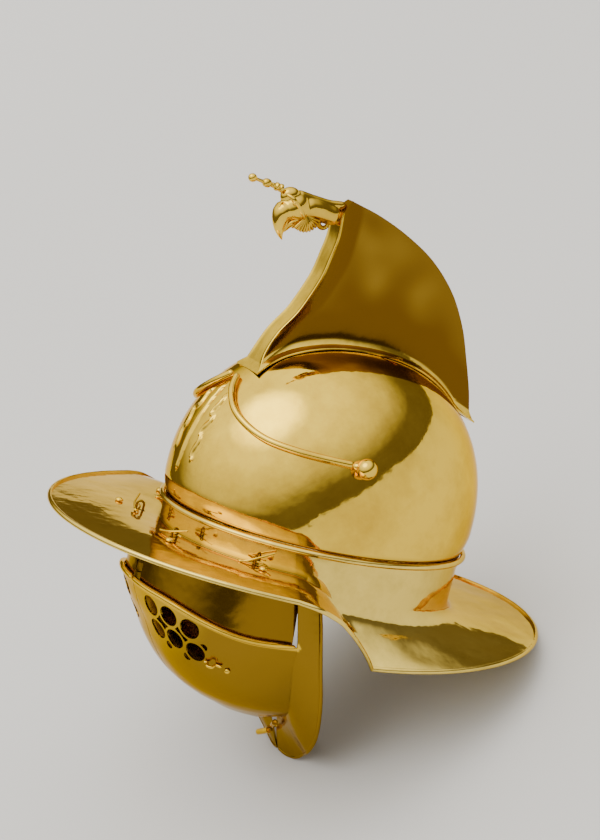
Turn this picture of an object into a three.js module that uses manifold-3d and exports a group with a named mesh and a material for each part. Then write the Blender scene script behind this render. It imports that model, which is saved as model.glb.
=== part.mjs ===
// A thraex gladiator helmet in polished brass sheet: a hollow dome with a tall forward crest,
// a wide brim that steps down to a neck guard, and a pierced visor in two halves.
// Millimetres, +Z up. The wearer faces -Y and the wearer's left is +X.
// Everything is drawn square to the bead at the dome's foot, then leaned back until it rests.

import * as THREE from "three";
import { mergeVertices } from "three/addons/utils/BufferGeometryUtils.js";
import Module from "manifold-3d";

const wasm = await Module();
wasm.setup();

// Driving sizes
const sheet = 1.5; // brass sheet
const gap = 0.35; // between pieces that lie on each other
const dome = {
  halfLength: 122.5, halfWidth: 99.5, shoulder: 20, rise: 116, power: 2.2, foot: 2.9,
  tuck: 5, sideTuck: 0.11, // how far the foot draws in at the ends, and the sides' share of it
};
const wall = { halfLength: 117.5, halfWidth: 99, top: 2.3 };
const bead = { radius: 2.2 };
const frontRim = { halfLength: 204, halfWidth: 173, height: -18 };
const neckRim = { radius: 143, centreY: 52, height: -69, climb: 0.123 };
const rimRoll = 1.9; // radius of the brim's rolled edge
const root = { front: -18.5, neck: -43 };
const stepEnd = 90; // degrees from the front, where the neck guard begins

// The step at the temple, from the wide front brim (0) to the neck guard (1): angles from the
// front, and the shares by which the root drops, the rim draws in and the rim drops
const stepRows = [
  { rootAngle: 58, rimAngle: 61.4, rootDrop: 0, drawIn: 0, rimDrop: 0 },
  { rootAngle: 63, rimAngle: 66.2, rootDrop: 0.08, drawIn: 0.02, rimDrop: 0.04 },
  { rootAngle: 69, rimAngle: 71.8, rootDrop: 0.24, drawIn: 0.2, rimDrop: 0.18 },
  { rootAngle: 73, rimAngle: 75.4, rootDrop: 0.47, drawIn: 0.37, rimDrop: 0.33 },
  { rootAngle: 77, rimAngle: 80.5, rootDrop: 0.71, drawIn: 0.61, rimDrop: 0.56 },
  { rootAngle: 80.5, rimAngle: 86.3, rootDrop: 0.92, drawIn: 0.83, rimDrop: 0.83 },
  { rootAngle: 84, rimAngle: 90, rootDrop: 1, drawIn: 1, rimDrop: 1 },
];

const radians = THREE.MathUtils.degToRad;
const lerp = THREE.MathUtils.lerp;
const clamp = THREE.MathUtils.clamp;
const vec = (x, y, z) => new THREE.Vector3(x, y, z);
const ease = (x, low, high) => THREE.MathUtils.smoothstep(x, low, high);
const steps = (count, from = 0, to = 1) =>
  Array.from({ length: count + 1 }, (_, i) => lerp(from, to, i / count));

// Solids from points

function geometryOf(points, faces) {
  const geometry = new THREE.BufferGeometry();
  geometry.setAttribute(
    "position",
    new THREE.Float32BufferAttribute(points.flatMap((p) => [p.x, p.y, p.z]), 3),
  );
  geometry.setIndex(faces.flat());
  return mergeVertices(geometry, 1e-4);
}

// A closed solid through rings of points. The ends are closed by fans, or the last ring
// joins the first.
function skin(rings, closed = false) {
  const count = rings[0].length;
  const points = rings.flat();
  const faces = [];
  const last = closed ? rings.length : rings.length - 1;
  for (let i = 0; i < last; i++)
    for (let j = 0; j < count; j++) {
      const a = i * count + j;
      const b = i * count + ((j + 1) % count);
      const c = ((i + 1) % rings.length) * count + ((j + 1) % count);
      const d = ((i + 1) % rings.length) * count + j;
      faces.push([a, b, c], [a, c, d]);
    }
  if (!closed)
    for (const [start, turn] of [[0, 1], [(rings.length - 1) * count, 0]]) {
      const ring = points.slice(start, start + count);
      const middle = ring.reduce((sum, p) => sum.add(p), vec(0, 0, 0)).divideScalar(count);
      points.push(middle);
      for (let j = 0; j < count; j++) {
        const [a, b] = [start + j, start + ((j + 1) % count)];
        faces.push(turn ? [b, a, points.length - 1] : [a, b, points.length - 1]);
      }
    }
  return outward(geometryOf(points, faces));
}

// A curved sheet between two grids of points, closed along its four edges
function sheetSolid(front, back) {
  const rows = front.length;
  const count = front[0].length;
  const points = [...front.flat(), ...back.flat()];
  const at = (side, i, j) => side * rows * count + i * count + j;
  const faces = [];
  const quad = (a, b, c, d) => faces.push([a, b, c], [a, c, d]);
  for (let i = 0; i < rows - 1; i++)
    for (let j = 0; j < count - 1; j++) {
      quad(at(0, i, j), at(0, i, j + 1), at(0, i + 1, j + 1), at(0, i + 1, j));
      quad(at(1, i, j), at(1, i + 1, j), at(1, i + 1, j + 1), at(1, i, j + 1));
    }
  for (let i = 0; i < rows - 1; i++) {
    quad(at(0, i, 0), at(0, i + 1, 0), at(1, i + 1, 0), at(1, i, 0));
    quad(at(0, i, count - 1), at(1, i, count - 1), at(1, i + 1, count - 1), at(0, i + 1, count - 1));
  }
  for (let j = 0; j < count - 1; j++) {
    quad(at(0, 0, j), at(1, 0, j), at(1, 0, j + 1), at(0, 0, j + 1));
    quad(at(0, rows - 1, j), at(0, rows - 1, j + 1), at(1, rows - 1, j + 1), at(1, rows - 1, j));
  }
  return outward(geometryOf(points, faces));
}

// Turns every face round where the solid came out inside out
function outward(geometry) {
  const p = geometry.attributes.position;
  const index = geometry.index.array;
  const corner = [vec(), vec(), vec()];
  let volume = 0;
  for (let i = 0; i < index.length; i += 3) {
    corner.forEach((c, k) => c.fromBufferAttribute(p, index[i + k]));
    volume += corner[0].dot(corner[1].clone().cross(corner[2]));
  }
  if (volume < 0)
    for (let i = 0; i < index.length; i += 3)
      [index[i + 1], index[i + 2]] = [index[i + 2], index[i + 1]];
  return geometry;
}

// The grid moved along its surface's own normals
function offsetGrid(grid, distance) {
  return grid.map((row, i) =>
    row.map((point, j) => {
      const along = grid[Math.min(i + 1, grid.length - 1)][j].clone()
        .sub(grid[Math.max(i - 1, 0)][j]);
      const across = row[Math.min(j + 1, row.length - 1)].clone().sub(row[Math.max(j - 1, 0)]);
      return point.clone().addScaledVector(across.cross(along).normalize(), distance);
    }),
  );
}

// A round bar through points, with one radius or a list of radii
function bar(points, radius, sides = 8) {
  const radii = points.map((_, i) => (Array.isArray(radius) ? radius[i] : radius));
  let side = vec(0.31, 0.17, 0.93);
  return skin(
    points.map((point, i) => {
      const ahead = points[Math.min(i + 1, points.length - 1)].clone()
        .sub(points[Math.max(i - 1, 0)]).normalize();
      side = side.clone().addScaledVector(ahead, -side.dot(ahead)).normalize();
      const up = ahead.clone().cross(side);
      return steps(sides - 1, 0, (1 - 1 / sides) * 2 * Math.PI).map((turn) =>
        point.clone().addScaledVector(side, radii[i] * Math.cos(turn))
          .addScaledVector(up, radii[i] * Math.sin(turn)));
    }),
  );
}

const curve = (points) => new THREE.CatmullRomCurve3(points, false, "centripetal");
function smoothBar(points, radius, count, sides) {
  const radii = [radius].flat();
  const radiusAt = (t) => {
    const low = Math.min(Math.floor(t * (radii.length - 1)), Math.max(0, radii.length - 2));
    return lerp(radii[low], radii[Math.min(low + 1, radii.length - 1)], t * (radii.length - 1) - low);
  };
  return bar(curve(points).getPoints(count), steps(count).map(radiusAt), sides);
}

function ball(centre, radius, stretch = [1, 1, 1], sides = 12) {
  const geometry = new THREE.SphereGeometry(radius, sides, sides / 2);
  geometry.deleteAttribute("normal");
  geometry.deleteAttribute("uv");
  return mergeVertices(geometry.scale(...stretch).translate(centre.x, centre.y, centre.z), 1e-4);
}

function toManifold(geometry) {
  const merged = mergeVertices(geometry, 1e-4);
  return new wasm.Manifold(
    new wasm.Mesh({
      numProp: 3,
      vertProperties: new Float32Array(merged.attributes.position.array),
      triVerts: new Uint32Array(merged.index.array),
    }),
  );
}

function fromManifold(solid) {
  const mesh = solid.getMesh();
  const geometry = new THREE.BufferGeometry();
  geometry.setAttribute("position", new THREE.BufferAttribute(mesh.vertProperties, 3));
  geometry.setIndex(new THREE.BufferAttribute(mesh.triVerts, 1));
  return geometry;
}

const join = (...shapes) =>
  fromManifold(shapes.map(toManifold).reduce((all, shape) => all.add(shape)));
function cut(shape, ...tools) {
  const left = tools.map(toManifold).reduce((all, tool) => all.subtract(tool), toManifold(shape));
  const bodies = left.decompose();
  return fromManifold(bodies.reduce((most, body) => (body.volume() > most.volume() ? body : most)));
}

const mirrorPoint = (point) => vec(-point.x, point.y, point.z);
function mirrored(geometry) {
  const copy = geometry.clone().applyMatrix4(new THREE.Matrix4().makeScale(-1, 1, 1));
  return outward(copy);
}

// The dome's outer face, by angle from the front and by height
function domeReach(angle, height, stand = 0) {
  const above = clamp((height - dome.shoulder) / (dome.rise + stand), 0, 1);
  const below = clamp((dome.shoulder - height) / (dome.shoulder - dome.foot), 0, 1);
  const round = Math.pow(1 - Math.pow(above, dome.power), 1 / dome.power);
  const long = (dome.halfLength + stand) * round - dome.tuck * below * below;
  const wide = (dome.halfWidth + stand) * round - dome.tuck * dome.sideTuck * below * below;
  return vec(wide * Math.sin(angle), -long * Math.cos(angle), height);
}

function ellipsePoint(angle, halfLength, halfWidth, height) {
  const reach = 1 / Math.hypot(Math.sin(angle) / halfWidth, Math.cos(angle) / halfLength);
  return vec(reach * Math.sin(angle), -reach * Math.cos(angle), height);
}

// Where the dome's outer face is above a point in plan
function domeTop(x, y) {
  const away = Math.hypot(x / dome.halfWidth, y / dome.halfLength);
  const drop = Math.max(0, 1 - Math.pow(away, dome.power));
  return dome.shoulder + dome.rise * Math.pow(drop, 1 / dome.power);
}

// The dome: a hollow bowl with scrollwork raised on its brow

function domeBowl() {
  const around = 38;
  const levels = [dome.foot, 10, 20, 38, 58, 80, 99, 114, 126, 133];
  const ring = (height, stand) =>
    steps(around - 1, 0, 2 * Math.PI * (1 - 1 / around)).map((angle) =>
      domeReach(angle, height, stand));
  const outer = levels.map((height) => ring(height, 0));
  const inner = levels.map((height) => ring(Math.max(height - sheet * ease(height, 60, 130), 0), -sheet));
  return skin([...outer.reverse(), ...inner]);
}

// Raised work is half sunk bars that follow the dome's face
function onDome(angleDegrees, height, stand = 0) {
  return domeReach(radians(angleDegrees), height, stand);
}

// S-scrolls: where the middle lies, half the length, the lie of the middle and the curl, in degrees
const scrollRows = [
  { angle: 7.4, height: 80, half: 9, lie: 62, curl: 143 },
  { angle: 8.6, height: 65, half: 10.5, lie: 50, curl: 149 },
  { angle: 8.4, height: 48, half: 11.5, lie: 66, curl: 132 },
];
const scrollSink = 0.4; // how far the raised work's middle lies inside the dome's face
const leafSpan = { low: 30, high: 90, narrow: 0.9, wide: 1.5 };
const browStretch = 0.96; // the brow's arc for each degree, as a share of the half length's

// The curl grows evenly from the middle towards both ends
function scroll(row, side) {
  const count = 5;
  const degreesAcross = 180 / Math.PI / (dome.halfLength * browStretch);
  const arm = (way) => {
    let [across, up] = [0, 0];
    return steps(count).map((t) => {
      const place = onDome(side * (row.angle + across * degreesAcross), row.height + up, -scrollSink);
      const heading = radians(row.lie + row.curl * t * t);
      across += (way * row.half * Math.cos(heading)) / count;
      up += (way * row.half * Math.sin(heading)) / count;
      return place;
    });
  };
  const points = [...arm(-1).reverse(), ...arm(1).slice(1)];
  return bar(points, points.map((_, i) => 2.1 - 1.3 * Math.abs(i / count - 1)), 4);
}

function browWork() {
  const pieces = [];
  for (const side of [-1, 1])
    for (const row of scrollRows) pieces.push(scroll(row, side));
  const leafSteps = steps(6);
  const leaf = leafSteps.map((t) => onDome(0, lerp(leafSpan.high, leafSpan.low, t), -scrollSink));
  pieces.push(bar(leaf, leafSteps.map((t) => leafSpan.narrow + leafSpan.wide * Math.sin(Math.PI * t)), 5));
  return pieces;
}

// The brow rolls: a moulding from the crest's foot that sweeps back to a ball on each side
const browRows = [
  { angle: 2.5, height: 103 }, { angle: 9.5, height: 93.5 }, { angle: 19.5, height: 82.5 },
  { angle: 30, height: 75 }, { angle: 39.5, height: 70.6 }, { angle: 52, height: 68.6 },
  { angle: 64, height: 68 }, { angle: 74, height: 67.7 },
];
const browRadius = 2.3;
const browBall = { angle: 78, height: 67.7, radius: 7 };

function browRoll() {
  const path = browRows.map((row) => onDome(row.angle, row.height, browRadius + gap));
  const roll = smoothBar(path, browRadius, 13, 6);
  const centre = onDome(browBall.angle, browBall.height, browBall.radius + gap);
  const neck = onDome(browBall.angle - 3.5, browBall.height, 4.2);
  const collar = bar([path.at(-1), neck, centre], [browRadius, 3.1, 3.4], 6);
  return join(roll, ball(centre, browBall.radius, [1, 1, 1], 10), collar);
}

// The brim, its wall and the neck guard: one sheet with a rolled edge

function alongStep(column, t) {
  const place = t * (stepRows.length - 1);
  const low = Math.min(Math.floor(place), stepRows.length - 2);
  return lerp(stepRows[low][column], stepRows[low + 1][column], place - low);
}

function neckRimPoint(angle) {
  const back = neckRim.centreY * -Math.cos(angle);
  const side = neckRim.centreY * Math.sin(angle);
  const reach = back + Math.sqrt(neckRim.radius ** 2 - side ** 2);
  const point = vec(reach * Math.sin(angle), -reach * Math.cos(angle), 0);
  return point.setZ(neckRim.height + neckRim.climb * point.y);
}

const frontReach = ellipsePoint(
  radians(stepRows[0].rimAngle), frontRim.halfLength, frontRim.halfWidth, 0).length();
const neckReach = neckRimPoint(radians(stepEnd)).setZ(0).length();
const brimCrown = 3.4; // how far the front brim arches above a straight line
const guardDish = 3; // how far the neck guard sinks below one

// One cut across the brim: where it leaves the wall and where it ends
function brimCut(half) {
  const side = Math.sign(half) || 1;
  const turn = Math.abs(half);
  let cut;
  if (turn <= 1) {
    const rimAngle = radians(stepRows[0].rimAngle) * turn;
    const rootAngle = radians(stepRows[0].rootAngle) * turn;
    cut = {
      root: ellipsePoint(rootAngle, wall.halfLength, wall.halfWidth, root.front),
      rim: ellipsePoint(rimAngle, frontRim.halfLength, frontRim.halfWidth, frontRim.height),
      bulge: brimCrown,
    };
  } else if (turn <= 2) {
    const t = turn - 1;
    const rimAngle = radians(alongStep("rimAngle", t));
    const reach = lerp(frontReach, neckReach, alongStep("drawIn", t));
    const rimHeight = lerp(frontRim.height, neckRim.height, alongStep("rimDrop", t));
    cut = {
      root: ellipsePoint(radians(alongStep("rootAngle", t)), wall.halfLength, wall.halfWidth,
        lerp(root.front, root.neck, alongStep("rootDrop", t))),
      rim: vec(reach * Math.sin(rimAngle), -reach * Math.cos(rimAngle), rimHeight),
      bulge: brimCrown * (1 - t),
    };
  } else {
    const t = turn - 2;
    const rimAngle = lerp(radians(stepEnd), Math.PI, t);
    cut = {
      root: ellipsePoint(lerp(radians(stepRows.at(-1).rootAngle), Math.PI, t),
        wall.halfLength, wall.halfWidth, root.neck),
      rim: neckRimPoint(rimAngle),
      bulge: -guardDish * Math.sin(Math.PI * Math.min(1, t * 1.6)),
    };
  }
  cut.root.x *= side;
  cut.rim.x *= side;
  return cut;
}

// A point on the brim's top face, from the root (0) to the rim (1)
function brimPoint(cut, reach) {
  const point = cut.root.clone().lerp(cut.rim, reach);
  point.z += cut.bulge * Math.sin(Math.PI * Math.pow(reach, 0.7));
  return point;
}

const brimTurns = [
  ...steps(7, 0, 1), ...steps(6, 1, 2).slice(1), ...steps(9, 2, 3).slice(1),
];
const brimCuts = [
  ...brimTurns.slice(0, -1), ...brimTurns.slice(1).reverse().map((turn) => -turn),
].map(brimCut);

function brimRing(cut) {
  const inside = vec(cut.root.x, cut.root.y, 0).normalize().multiplyScalar(-sheet);
  const top = cut.root.clone().setZ(wall.top);
  const fillet = 4;
  const reaches = [0.06, 0.35, 0.7];
  const face = reaches.map((reach) => brimPoint(cut, reach));
  const under = face.map((point) => point.clone().add(vec(0, 0, -sheet)));
  const out = cut.rim.clone().sub(face.at(-1)).normalize();
  const up = vec(0, 0, 1).addScaledVector(out, -out.z).normalize();
  const centre = cut.rim.clone().addScaledVector(out, -rimRoll);
  const roll = [2.3, 0.9, -0.5, -1.9].map((turn) =>
    centre.clone().addScaledVector(out, rimRoll * Math.cos(turn))
      .addScaledVector(up, rimRoll * Math.sin(turn)));
  return [
    top, cut.root.clone().add(vec(0, 0, fillet)), ...face, ...roll, ...under.reverse(),
    cut.root.clone().add(inside).add(vec(0, 0, -sheet)),
    cut.root.clone().add(inside).add(vec(0, 0, fillet)), top.clone().add(inside),
  ];
}

const brimSheet = skin(brimCuts.map(brimRing), true);

function beadRing() {
  const around = 40;
  const flats = wall.halfLength * (1 - Math.cos(Math.PI / around));
  const centreOut = bead.radius + gap + flats;
  return skin(
    steps(around - 1, 0, 2 * Math.PI * (1 - 1 / around)).map((angle) => {
      const centre = ellipsePoint(angle, wall.halfLength + centreOut, wall.halfWidth + centreOut, 0.3);
      const out = vec(centre.x, centre.y, 0).normalize();
      return steps(5, 0, (5 / 6) * 2 * Math.PI).map((turn) =>
        centre.clone().addScaledVector(out, bead.radius * Math.cos(turn))
          .add(vec(0, 0, bead.radius * Math.sin(turn))));
    }),
    true,
  );
}

// The crest: a hollow box of sheet that leans forward, with a flared foot on the dome

// The front strip and the rear edge from foot to top: places as shares of the dome's half
// length behind the middle, and of the crest's whole height above the bead
const crestRows = [
  { frontBack: -0.678, frontUp: 0.46, rearBack: 0.873, rearUp: 0.404 },
  { frontBack: -0.645, frontUp: 0.518, rearBack: 0.837, rearUp: 0.484 },
  { frontBack: -0.592, frontUp: 0.578, rearBack: 0.751, rearUp: 0.596 },
  { frontBack: -0.502, frontUp: 0.644, rearBack: 0.673, rearUp: 0.683 },
  { frontBack: -0.449, frontUp: 0.7, rearBack: 0.539, rearUp: 0.783 },
  { frontBack: -0.4, frontUp: 0.766, rearBack: 0.347, rearUp: 0.87 },
  { frontBack: -0.376, frontUp: 0.828, rearBack: 0.131, rearUp: 0.93 },
  { frontBack: -0.359, frontUp: 0.886, rearBack: -0.09, rearUp: 0.973 },
  { frontBack: -0.367, frontUp: 0.957, rearBack: -0.302, rearUp: 1 },
];
const crest = {
  height: 105.5, stripHalf: 9.3, rearHalf: 2.3, flare: 5.5, wallThick: 1.2, frontFade: 26,
  lip: 3, lift: 0.4, spurShare: 0.735,
};
const crestTop = dome.shoulder + dome.rise + crest.height;
const crestEdge = (back, up) =>
  curve(crestRows.map((row) => vec(0, row[back] * dome.halfLength, row[up] * crestTop)));
const crestFront = crestEdge("frontBack", "frontUp");
const crestRear = crestEdge("rearBack", "rearUp");
const spurStart = crest.spurShare * dome.halfLength;

// The foot's line follows the dome, and its rear end stands clear as a short spur
function crestFootHeight(y) {
  const end = crestRear.getPointAt(0);
  const start = domeTop(0, Math.min(y, spurStart)) + crest.lift;
  if (y <= spurStart) return start;
  return lerp(start, end.z, (y - spurStart) / (end.y - spurStart));
}

// The crest's middle plane: u runs from the front strip to the rear edge, v from foot to top
function crestMiddle(u, v) {
  const point = crestFront.getPointAt(v).lerp(crestRear.getPointAt(v), u);
  const foot = crestFront.getPointAt(0).lerp(crestRear.getPointAt(0), u);
  point.z += (crestFootHeight(foot.y) - foot.z) * Math.pow(1 - v, 2.5);
  return point;
}

const footFlare = { fade: 18, belly: 4, bellyFade: 9 }; // how fast the foot's flare dies out upwards

function crestHalf(u, v) {
  const length = crestFront.getPointAt(v).distanceTo(crestRear.getPointAt(v));
  const fade = Math.max(0, 1 - (u * length) / crest.frontFade);
  const plain = crest.rearHalf + (crest.stripHalf - crest.rearHalf) * fade * fade;
  const flare = crest.flare * (1 - 0.35 * u) * Math.exp(-v * footFlare.fade);
  return plain + flare + footFlare.belly * Math.sin(Math.PI * u) * Math.exp(-v * footFlare.bellyFade);
}

const crestAlong = steps(12);

// One closed ring round the crest; inset moves it in for the inner face
function crestRing(v, inset, spread = 0, heightOf = null) {
  const length = crestMiddle(0, v).distanceTo(crestMiddle(1, v));
  const side = crestAlong.map((t) => {
    const u = lerp(inset / length, 1 - inset / length, t);
    const point = crestMiddle(u, v);
    const ahead = (2 * t - 1) ** 5 * spread;
    point.y += ahead;
    point.x = crestHalf(u, v) - inset + spread;
    if (heightOf) point.z = heightOf(point);
    return point;
  });
  return [...side, ...side.map((p) => vec(-p.x, p.y, p.z)).reverse()];
}

function crestBox() {
  const under = (p) => Math.max(domeTop(p.x, p.y) + crest.lift, crestFootHeight(p.y) - 0.6);
  const levels = [0.03, 0.08, 0.15, 0.25, 0.4, 0.57, 0.75, 0.88, 1];
  const outer = [
    crestRing(0, 0, crest.lip, under),
    crestRing(0, 0, crest.lip, (p) => under(p) + 1.3),
    crestRing(0, 0, 0.6, (p) => under(p) + 2.2),
    ...levels.map((v) => crestRing(v, 0)),
  ];
  const inner = [
    crestRing(0, crest.wallThick, 0, under),
    ...levels.slice(1).map((v) => crestRing(v - 0.03, crest.wallThick)),
  ];
  return skin([...outer.reverse(), ...inner]);
}

// The griffin's head that ends the crest, with a ribbed ruff and a spike on its brow

const crestEnd = crestFront.getPointAt(1);
const ahead = (x, out, up) => vec(x, crestEnd.y - out, crestEnd.z + up);

const ruffReach = 12.5; // length of the ruff's ribs

function griffinHead() {
  const neck = smoothBar(
    [ahead(0, 0.4, -3), ahead(0, 9, -2.4), ahead(0, 20, -1), ahead(0, 31, -3)], [7.6, 7.8, 8.6, 9], 4, 8);
  const skull = ball(ahead(0, 34, -3), 10, [1, 1, 1], 8);
  const brow = smoothBar([ahead(0, 35, 5.5), ahead(0, 43, 6), ahead(0, 47, 0)], [6, 5.2, 3.4], 3, 6);
  const beak = smoothBar(
    [ahead(0, 41, -1), ahead(0, 45.5, -10), ahead(0, 44, -20), ahead(0, 37.5, -28)],
    [7.4, 6, 4, 0.8], 5, 6);
  const jaw = smoothBar([ahead(0, 34, -8), ahead(0, 35, -16), ahead(0, 35, -22)], [5.5, 3.6, 1.2], 2, 5);
  const ruff = ball(ahead(0, 22.5, -10), 9.5, [0.72, 0.9, 1], 6);
  const curl = steps(7).map((t) => {
    const turn = radians(120 + 420 * t);
    const reach = lerp(6.5, 1.6, t);
    return ahead(0, 8.5 - reach * Math.cos(turn), -8.5 + reach * Math.sin(turn));
  });
  const parts = [neck, skull, brow, beak, jaw, ruff, bar(curl, curl.map((_, i) => 2.4 - 0.15 * i), 4)];
  for (const side of [-1, 1]) {
    parts.push(ball(ahead(side * 7.6, 38, 0), 2.6, [1, 1, 1], 6));
    parts.push(smoothBar([ahead(side * 6, 34, 4), ahead(side * 7.5, 28, 8), ahead(side * 6.5, 21, 10)],
      [2.6, 2.2, 0.8], 2, 4));
    for (const turn of steps(5, 240, 345)) {
      const from = ahead(side * 5.6, 27, -6);
      const [back, down] = [ruffReach * Math.cos(radians(turn)), ruffReach * Math.sin(radians(turn))];
      parts.push(bar([from, from.clone().add(vec(side * 0.6, back, down))], [1.2, 1.5], 4));
    }
  }
  return join(...parts);
}

// The jointed spike on the griffin's brow, by share of its length
const spikeRoot = ahead(0, 48.1, 8.6);
const spikeTip = ahead(0, 74, 12);
const spikeRows = [
  { along: 0, radius: 3.2 }, { along: 0.1, radius: 2.2 }, { along: 0.14, radius: 3 },
  { along: 0.2, radius: 3 }, { along: 0.24, radius: 1.7 }, { along: 0.36, radius: 1.6 },
  { along: 0.4, radius: 2.8 }, { along: 0.5, radius: 3.1 }, { along: 0.6, radius: 1.5 },
  { along: 0.82, radius: 1.3 }, { along: 0.88, radius: 2.6 }, { along: 0.95, radius: 3.1 },
  { along: 1.02, radius: 2.5 }, { along: 1.07, radius: 0.8 },
];

function griffinSpike() {
  const points = spikeRows.map((row) => spikeRoot.clone().lerp(spikeTip, row.along));
  return bar(points, spikeRows.map((row) => row.radius), 8);
}

// The visor: two bowl-shaped halves that meet at the front, each with a flared band behind

const visor = {
  hang: 41.5, reach: 136, halfWidth: 88, depth: 96,
  seam: 0.5, roundness: 2.3, ribRadius: 2.2, borderRadius: 1.5,
  grillePitch: 20, grilleIn: 19, grilleDown: 12.5, holeRadius: 8.2, ringBar: 1.8,
};
const visorTop = frontRim.height - visor.hang;

// The keel from the rib to the chin, as shares of the visor's reach and of its depth
const keelRows = [
  { out: 1, drop: 0 }, { out: 0.934, drop: 0.172 }, { out: 0.864, drop: 0.318 },
  { out: 0.801, drop: 0.464 }, { out: 0.732, drop: 0.589 }, { out: 0.647, drop: 0.703 },
  { out: 0.533, drop: 0.797 }, { out: 0.426, drop: 0.859 }, { out: 0.324, drop: 0.918 },
  { out: 0.213, drop: 0.964 }, { out: 0.11, drop: 1 },
];

// The band from the temple to the chin, its fold on the bowl and its free edge: shares of the
// visor's half width sideways and backwards, and of its depth downwards
const bandRows = [
  { foldOut: 1, foldBack: -0.568, foldDrop: -0.339, edgeOut: 1.074, edgeBack: -0.352, edgeDrop: -0.193 },
  { foldOut: 1, foldBack: -0.5, foldDrop: -0.099, edgeOut: 1.08, edgeBack: -0.307, edgeDrop: -0.047 },
  { foldOut: 1, foldBack: -0.438, foldDrop: 0.13, edgeOut: 1.08, edgeBack: -0.261, edgeDrop: 0.109 },
  { foldOut: 0.983, foldBack: -0.42, foldDrop: 0.297, edgeOut: 1.068, edgeBack: -0.199, edgeDrop: 0.297 },
  { foldOut: 0.938, foldBack: -0.364, foldDrop: 0.464, edgeOut: 1.04, edgeBack: -0.125, edgeDrop: 0.484 },
  { foldOut: 0.875, foldBack: -0.307, foldDrop: 0.589, edgeOut: 0.989, edgeBack: -0.057, edgeDrop: 0.661 },
  { foldOut: 0.784, foldBack: -0.239, foldDrop: 0.693, edgeOut: 0.875, edgeBack: 0.028, edgeDrop: 0.875 },
  { foldOut: 0.636, foldBack: -0.159, foldDrop: 0.781, edgeOut: 0.67, edgeBack: 0.114, edgeDrop: 1.057 },
  { foldOut: 0.455, foldBack: -0.08, foldDrop: 0.854, edgeOut: 0.466, edgeBack: 0.199, edgeDrop: 1.156 },
  { foldOut: 0.295, foldBack: -0.011, foldDrop: 0.901, edgeOut: 0.273, edgeBack: 0.239, edgeDrop: 1.255 },
  { foldOut: 0.159, foldBack: 0.045, foldDrop: 0.938, edgeOut: 0.114, edgeBack: 0.227, edgeDrop: 1.286 },
  { foldOut: 0.102, foldBack: 0.068, foldDrop: 0.953, edgeOut: 0.014, edgeBack: 0.211, edgeDrop: 1.276 },
];
const atVisor = (out, back, drop) =>
  vec(out * visor.halfWidth, back * visor.halfWidth, visorTop - drop * visor.depth);
const keel = curve(
  keelRows.map((row) => vec(0, -row.out * visor.reach, visorTop - row.drop * visor.depth)));
const bandBowlStart = 2; // the row where the band meets the bowl's rolled rib
const bandFold = bandRows.map((row) => atVisor(row.foldOut, row.foldBack, row.foldDrop));
const bandEdge = bandRows.map((row) => atVisor(row.edgeOut, row.edgeBack, row.edgeDrop));
const bowlSide = curve(bandFold.slice(bandBowlStart, -1));

// The bowl's face: u runs from the front seam to the band's fold, v from the rib to the chin
function bowlPoint(u, v) {
  const front = keel.getPointAt(v);
  const side = bowlSide.getPointAt(v);
  const turn = (u * Math.PI) / 2;
  const out = Math.pow(Math.sin(turn), 2 / visor.roundness);
  const back = 1 - Math.pow(Math.max(0, Math.cos(turn)), 2 / visor.roundness);
  return vec(
    lerp(visor.seam, side.x, out),
    lerp(front.y, side.y, back),
    lerp(front.z, side.z, lerp(ease(u, 0.2, 0.85), back, Math.min(1, v * 2))),
  );
}

const bowlAcross = steps(8);
const bowlGrid = steps(7).map((v) => bowlAcross.map((u) => bowlPoint(u, v)));

function bowlNormal(u, v) {
  const small = 0.01;
  const across = bowlPoint(Math.min(1, u + small), v).sub(bowlPoint(Math.max(0, u - small), v));
  const down = bowlPoint(u, Math.min(1, v + small)).sub(bowlPoint(u, Math.max(0, v - small)));
  return down.cross(across).normalize();
}

// Millimetres along the bowl's face from the seam and down from the rib, as u and v
function bowlPlace(along, down) {
  let u = 0.02;
  let v = 0.001;
  for (let i = 0; i < 300 && along > 0; i++) {
    const stride = bowlPoint(u + 0.003, v).distanceTo(bowlPoint(u, v));
    u += 0.003;
    along -= stride;
  }
  for (let i = 0; i < 300 && down > 0; i++) {
    const stride = bowlPoint(u, v + 0.003).distanceTo(bowlPoint(u, v));
    v += 0.003;
    down -= stride;
  }
  return [u, v];
}

const punchDepth = 9;

// A punch square to the bowl's face, from an outline in millimetres round a centre
function punch(along, down, outline) {
  const [u, v] = bowlPlace(along, down);
  const centre = bowlPoint(u, v);
  const normal = bowlNormal(u, v);
  const across = vec(0, 0, -1).addScaledVector(normal, normal.z).normalize().cross(normal).negate();
  const fall = across.clone().cross(normal).normalize();
  if (fall.z > 0) fall.negate();
  return skin([punchDepth, -punchDepth].map((depth) =>
    outline.map(([a, b]) => centre.clone().addScaledVector(across, a).addScaledVector(fall, b)
      .addScaledVector(normal, depth))));
}

const roundOutline = (radius, sides) =>
  steps(sides - 1, 0, 2 * Math.PI * (1 - 1 / sides)).map((turn) =>
    [radius * Math.cos(turn), radius * Math.sin(turn)]);

// The star left between rings that touch: all four round it, or two at the grille's edge.
// Corners count from the one below and towards the seam's far side.
function starOutline(corners) {
  const half = visor.grillePitch / 2;
  const ringOuter = visor.holeRadius + visor.ringBar;
  return corners.flatMap((corner) => {
    const centreTurn = Math.PI / 4 + (corner * Math.PI) / 2;
    const away = half * Math.SQRT2;
    return [-0.5, 0, 0.5].map((spread) => {
      const turn = centreTurn + Math.PI - spread;
      return [away * Math.cos(centreTurn) + ringOuter * Math.cos(turn),
        away * Math.sin(centreTurn) + ringOuter * Math.sin(turn)];
    });
  });
}

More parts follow.
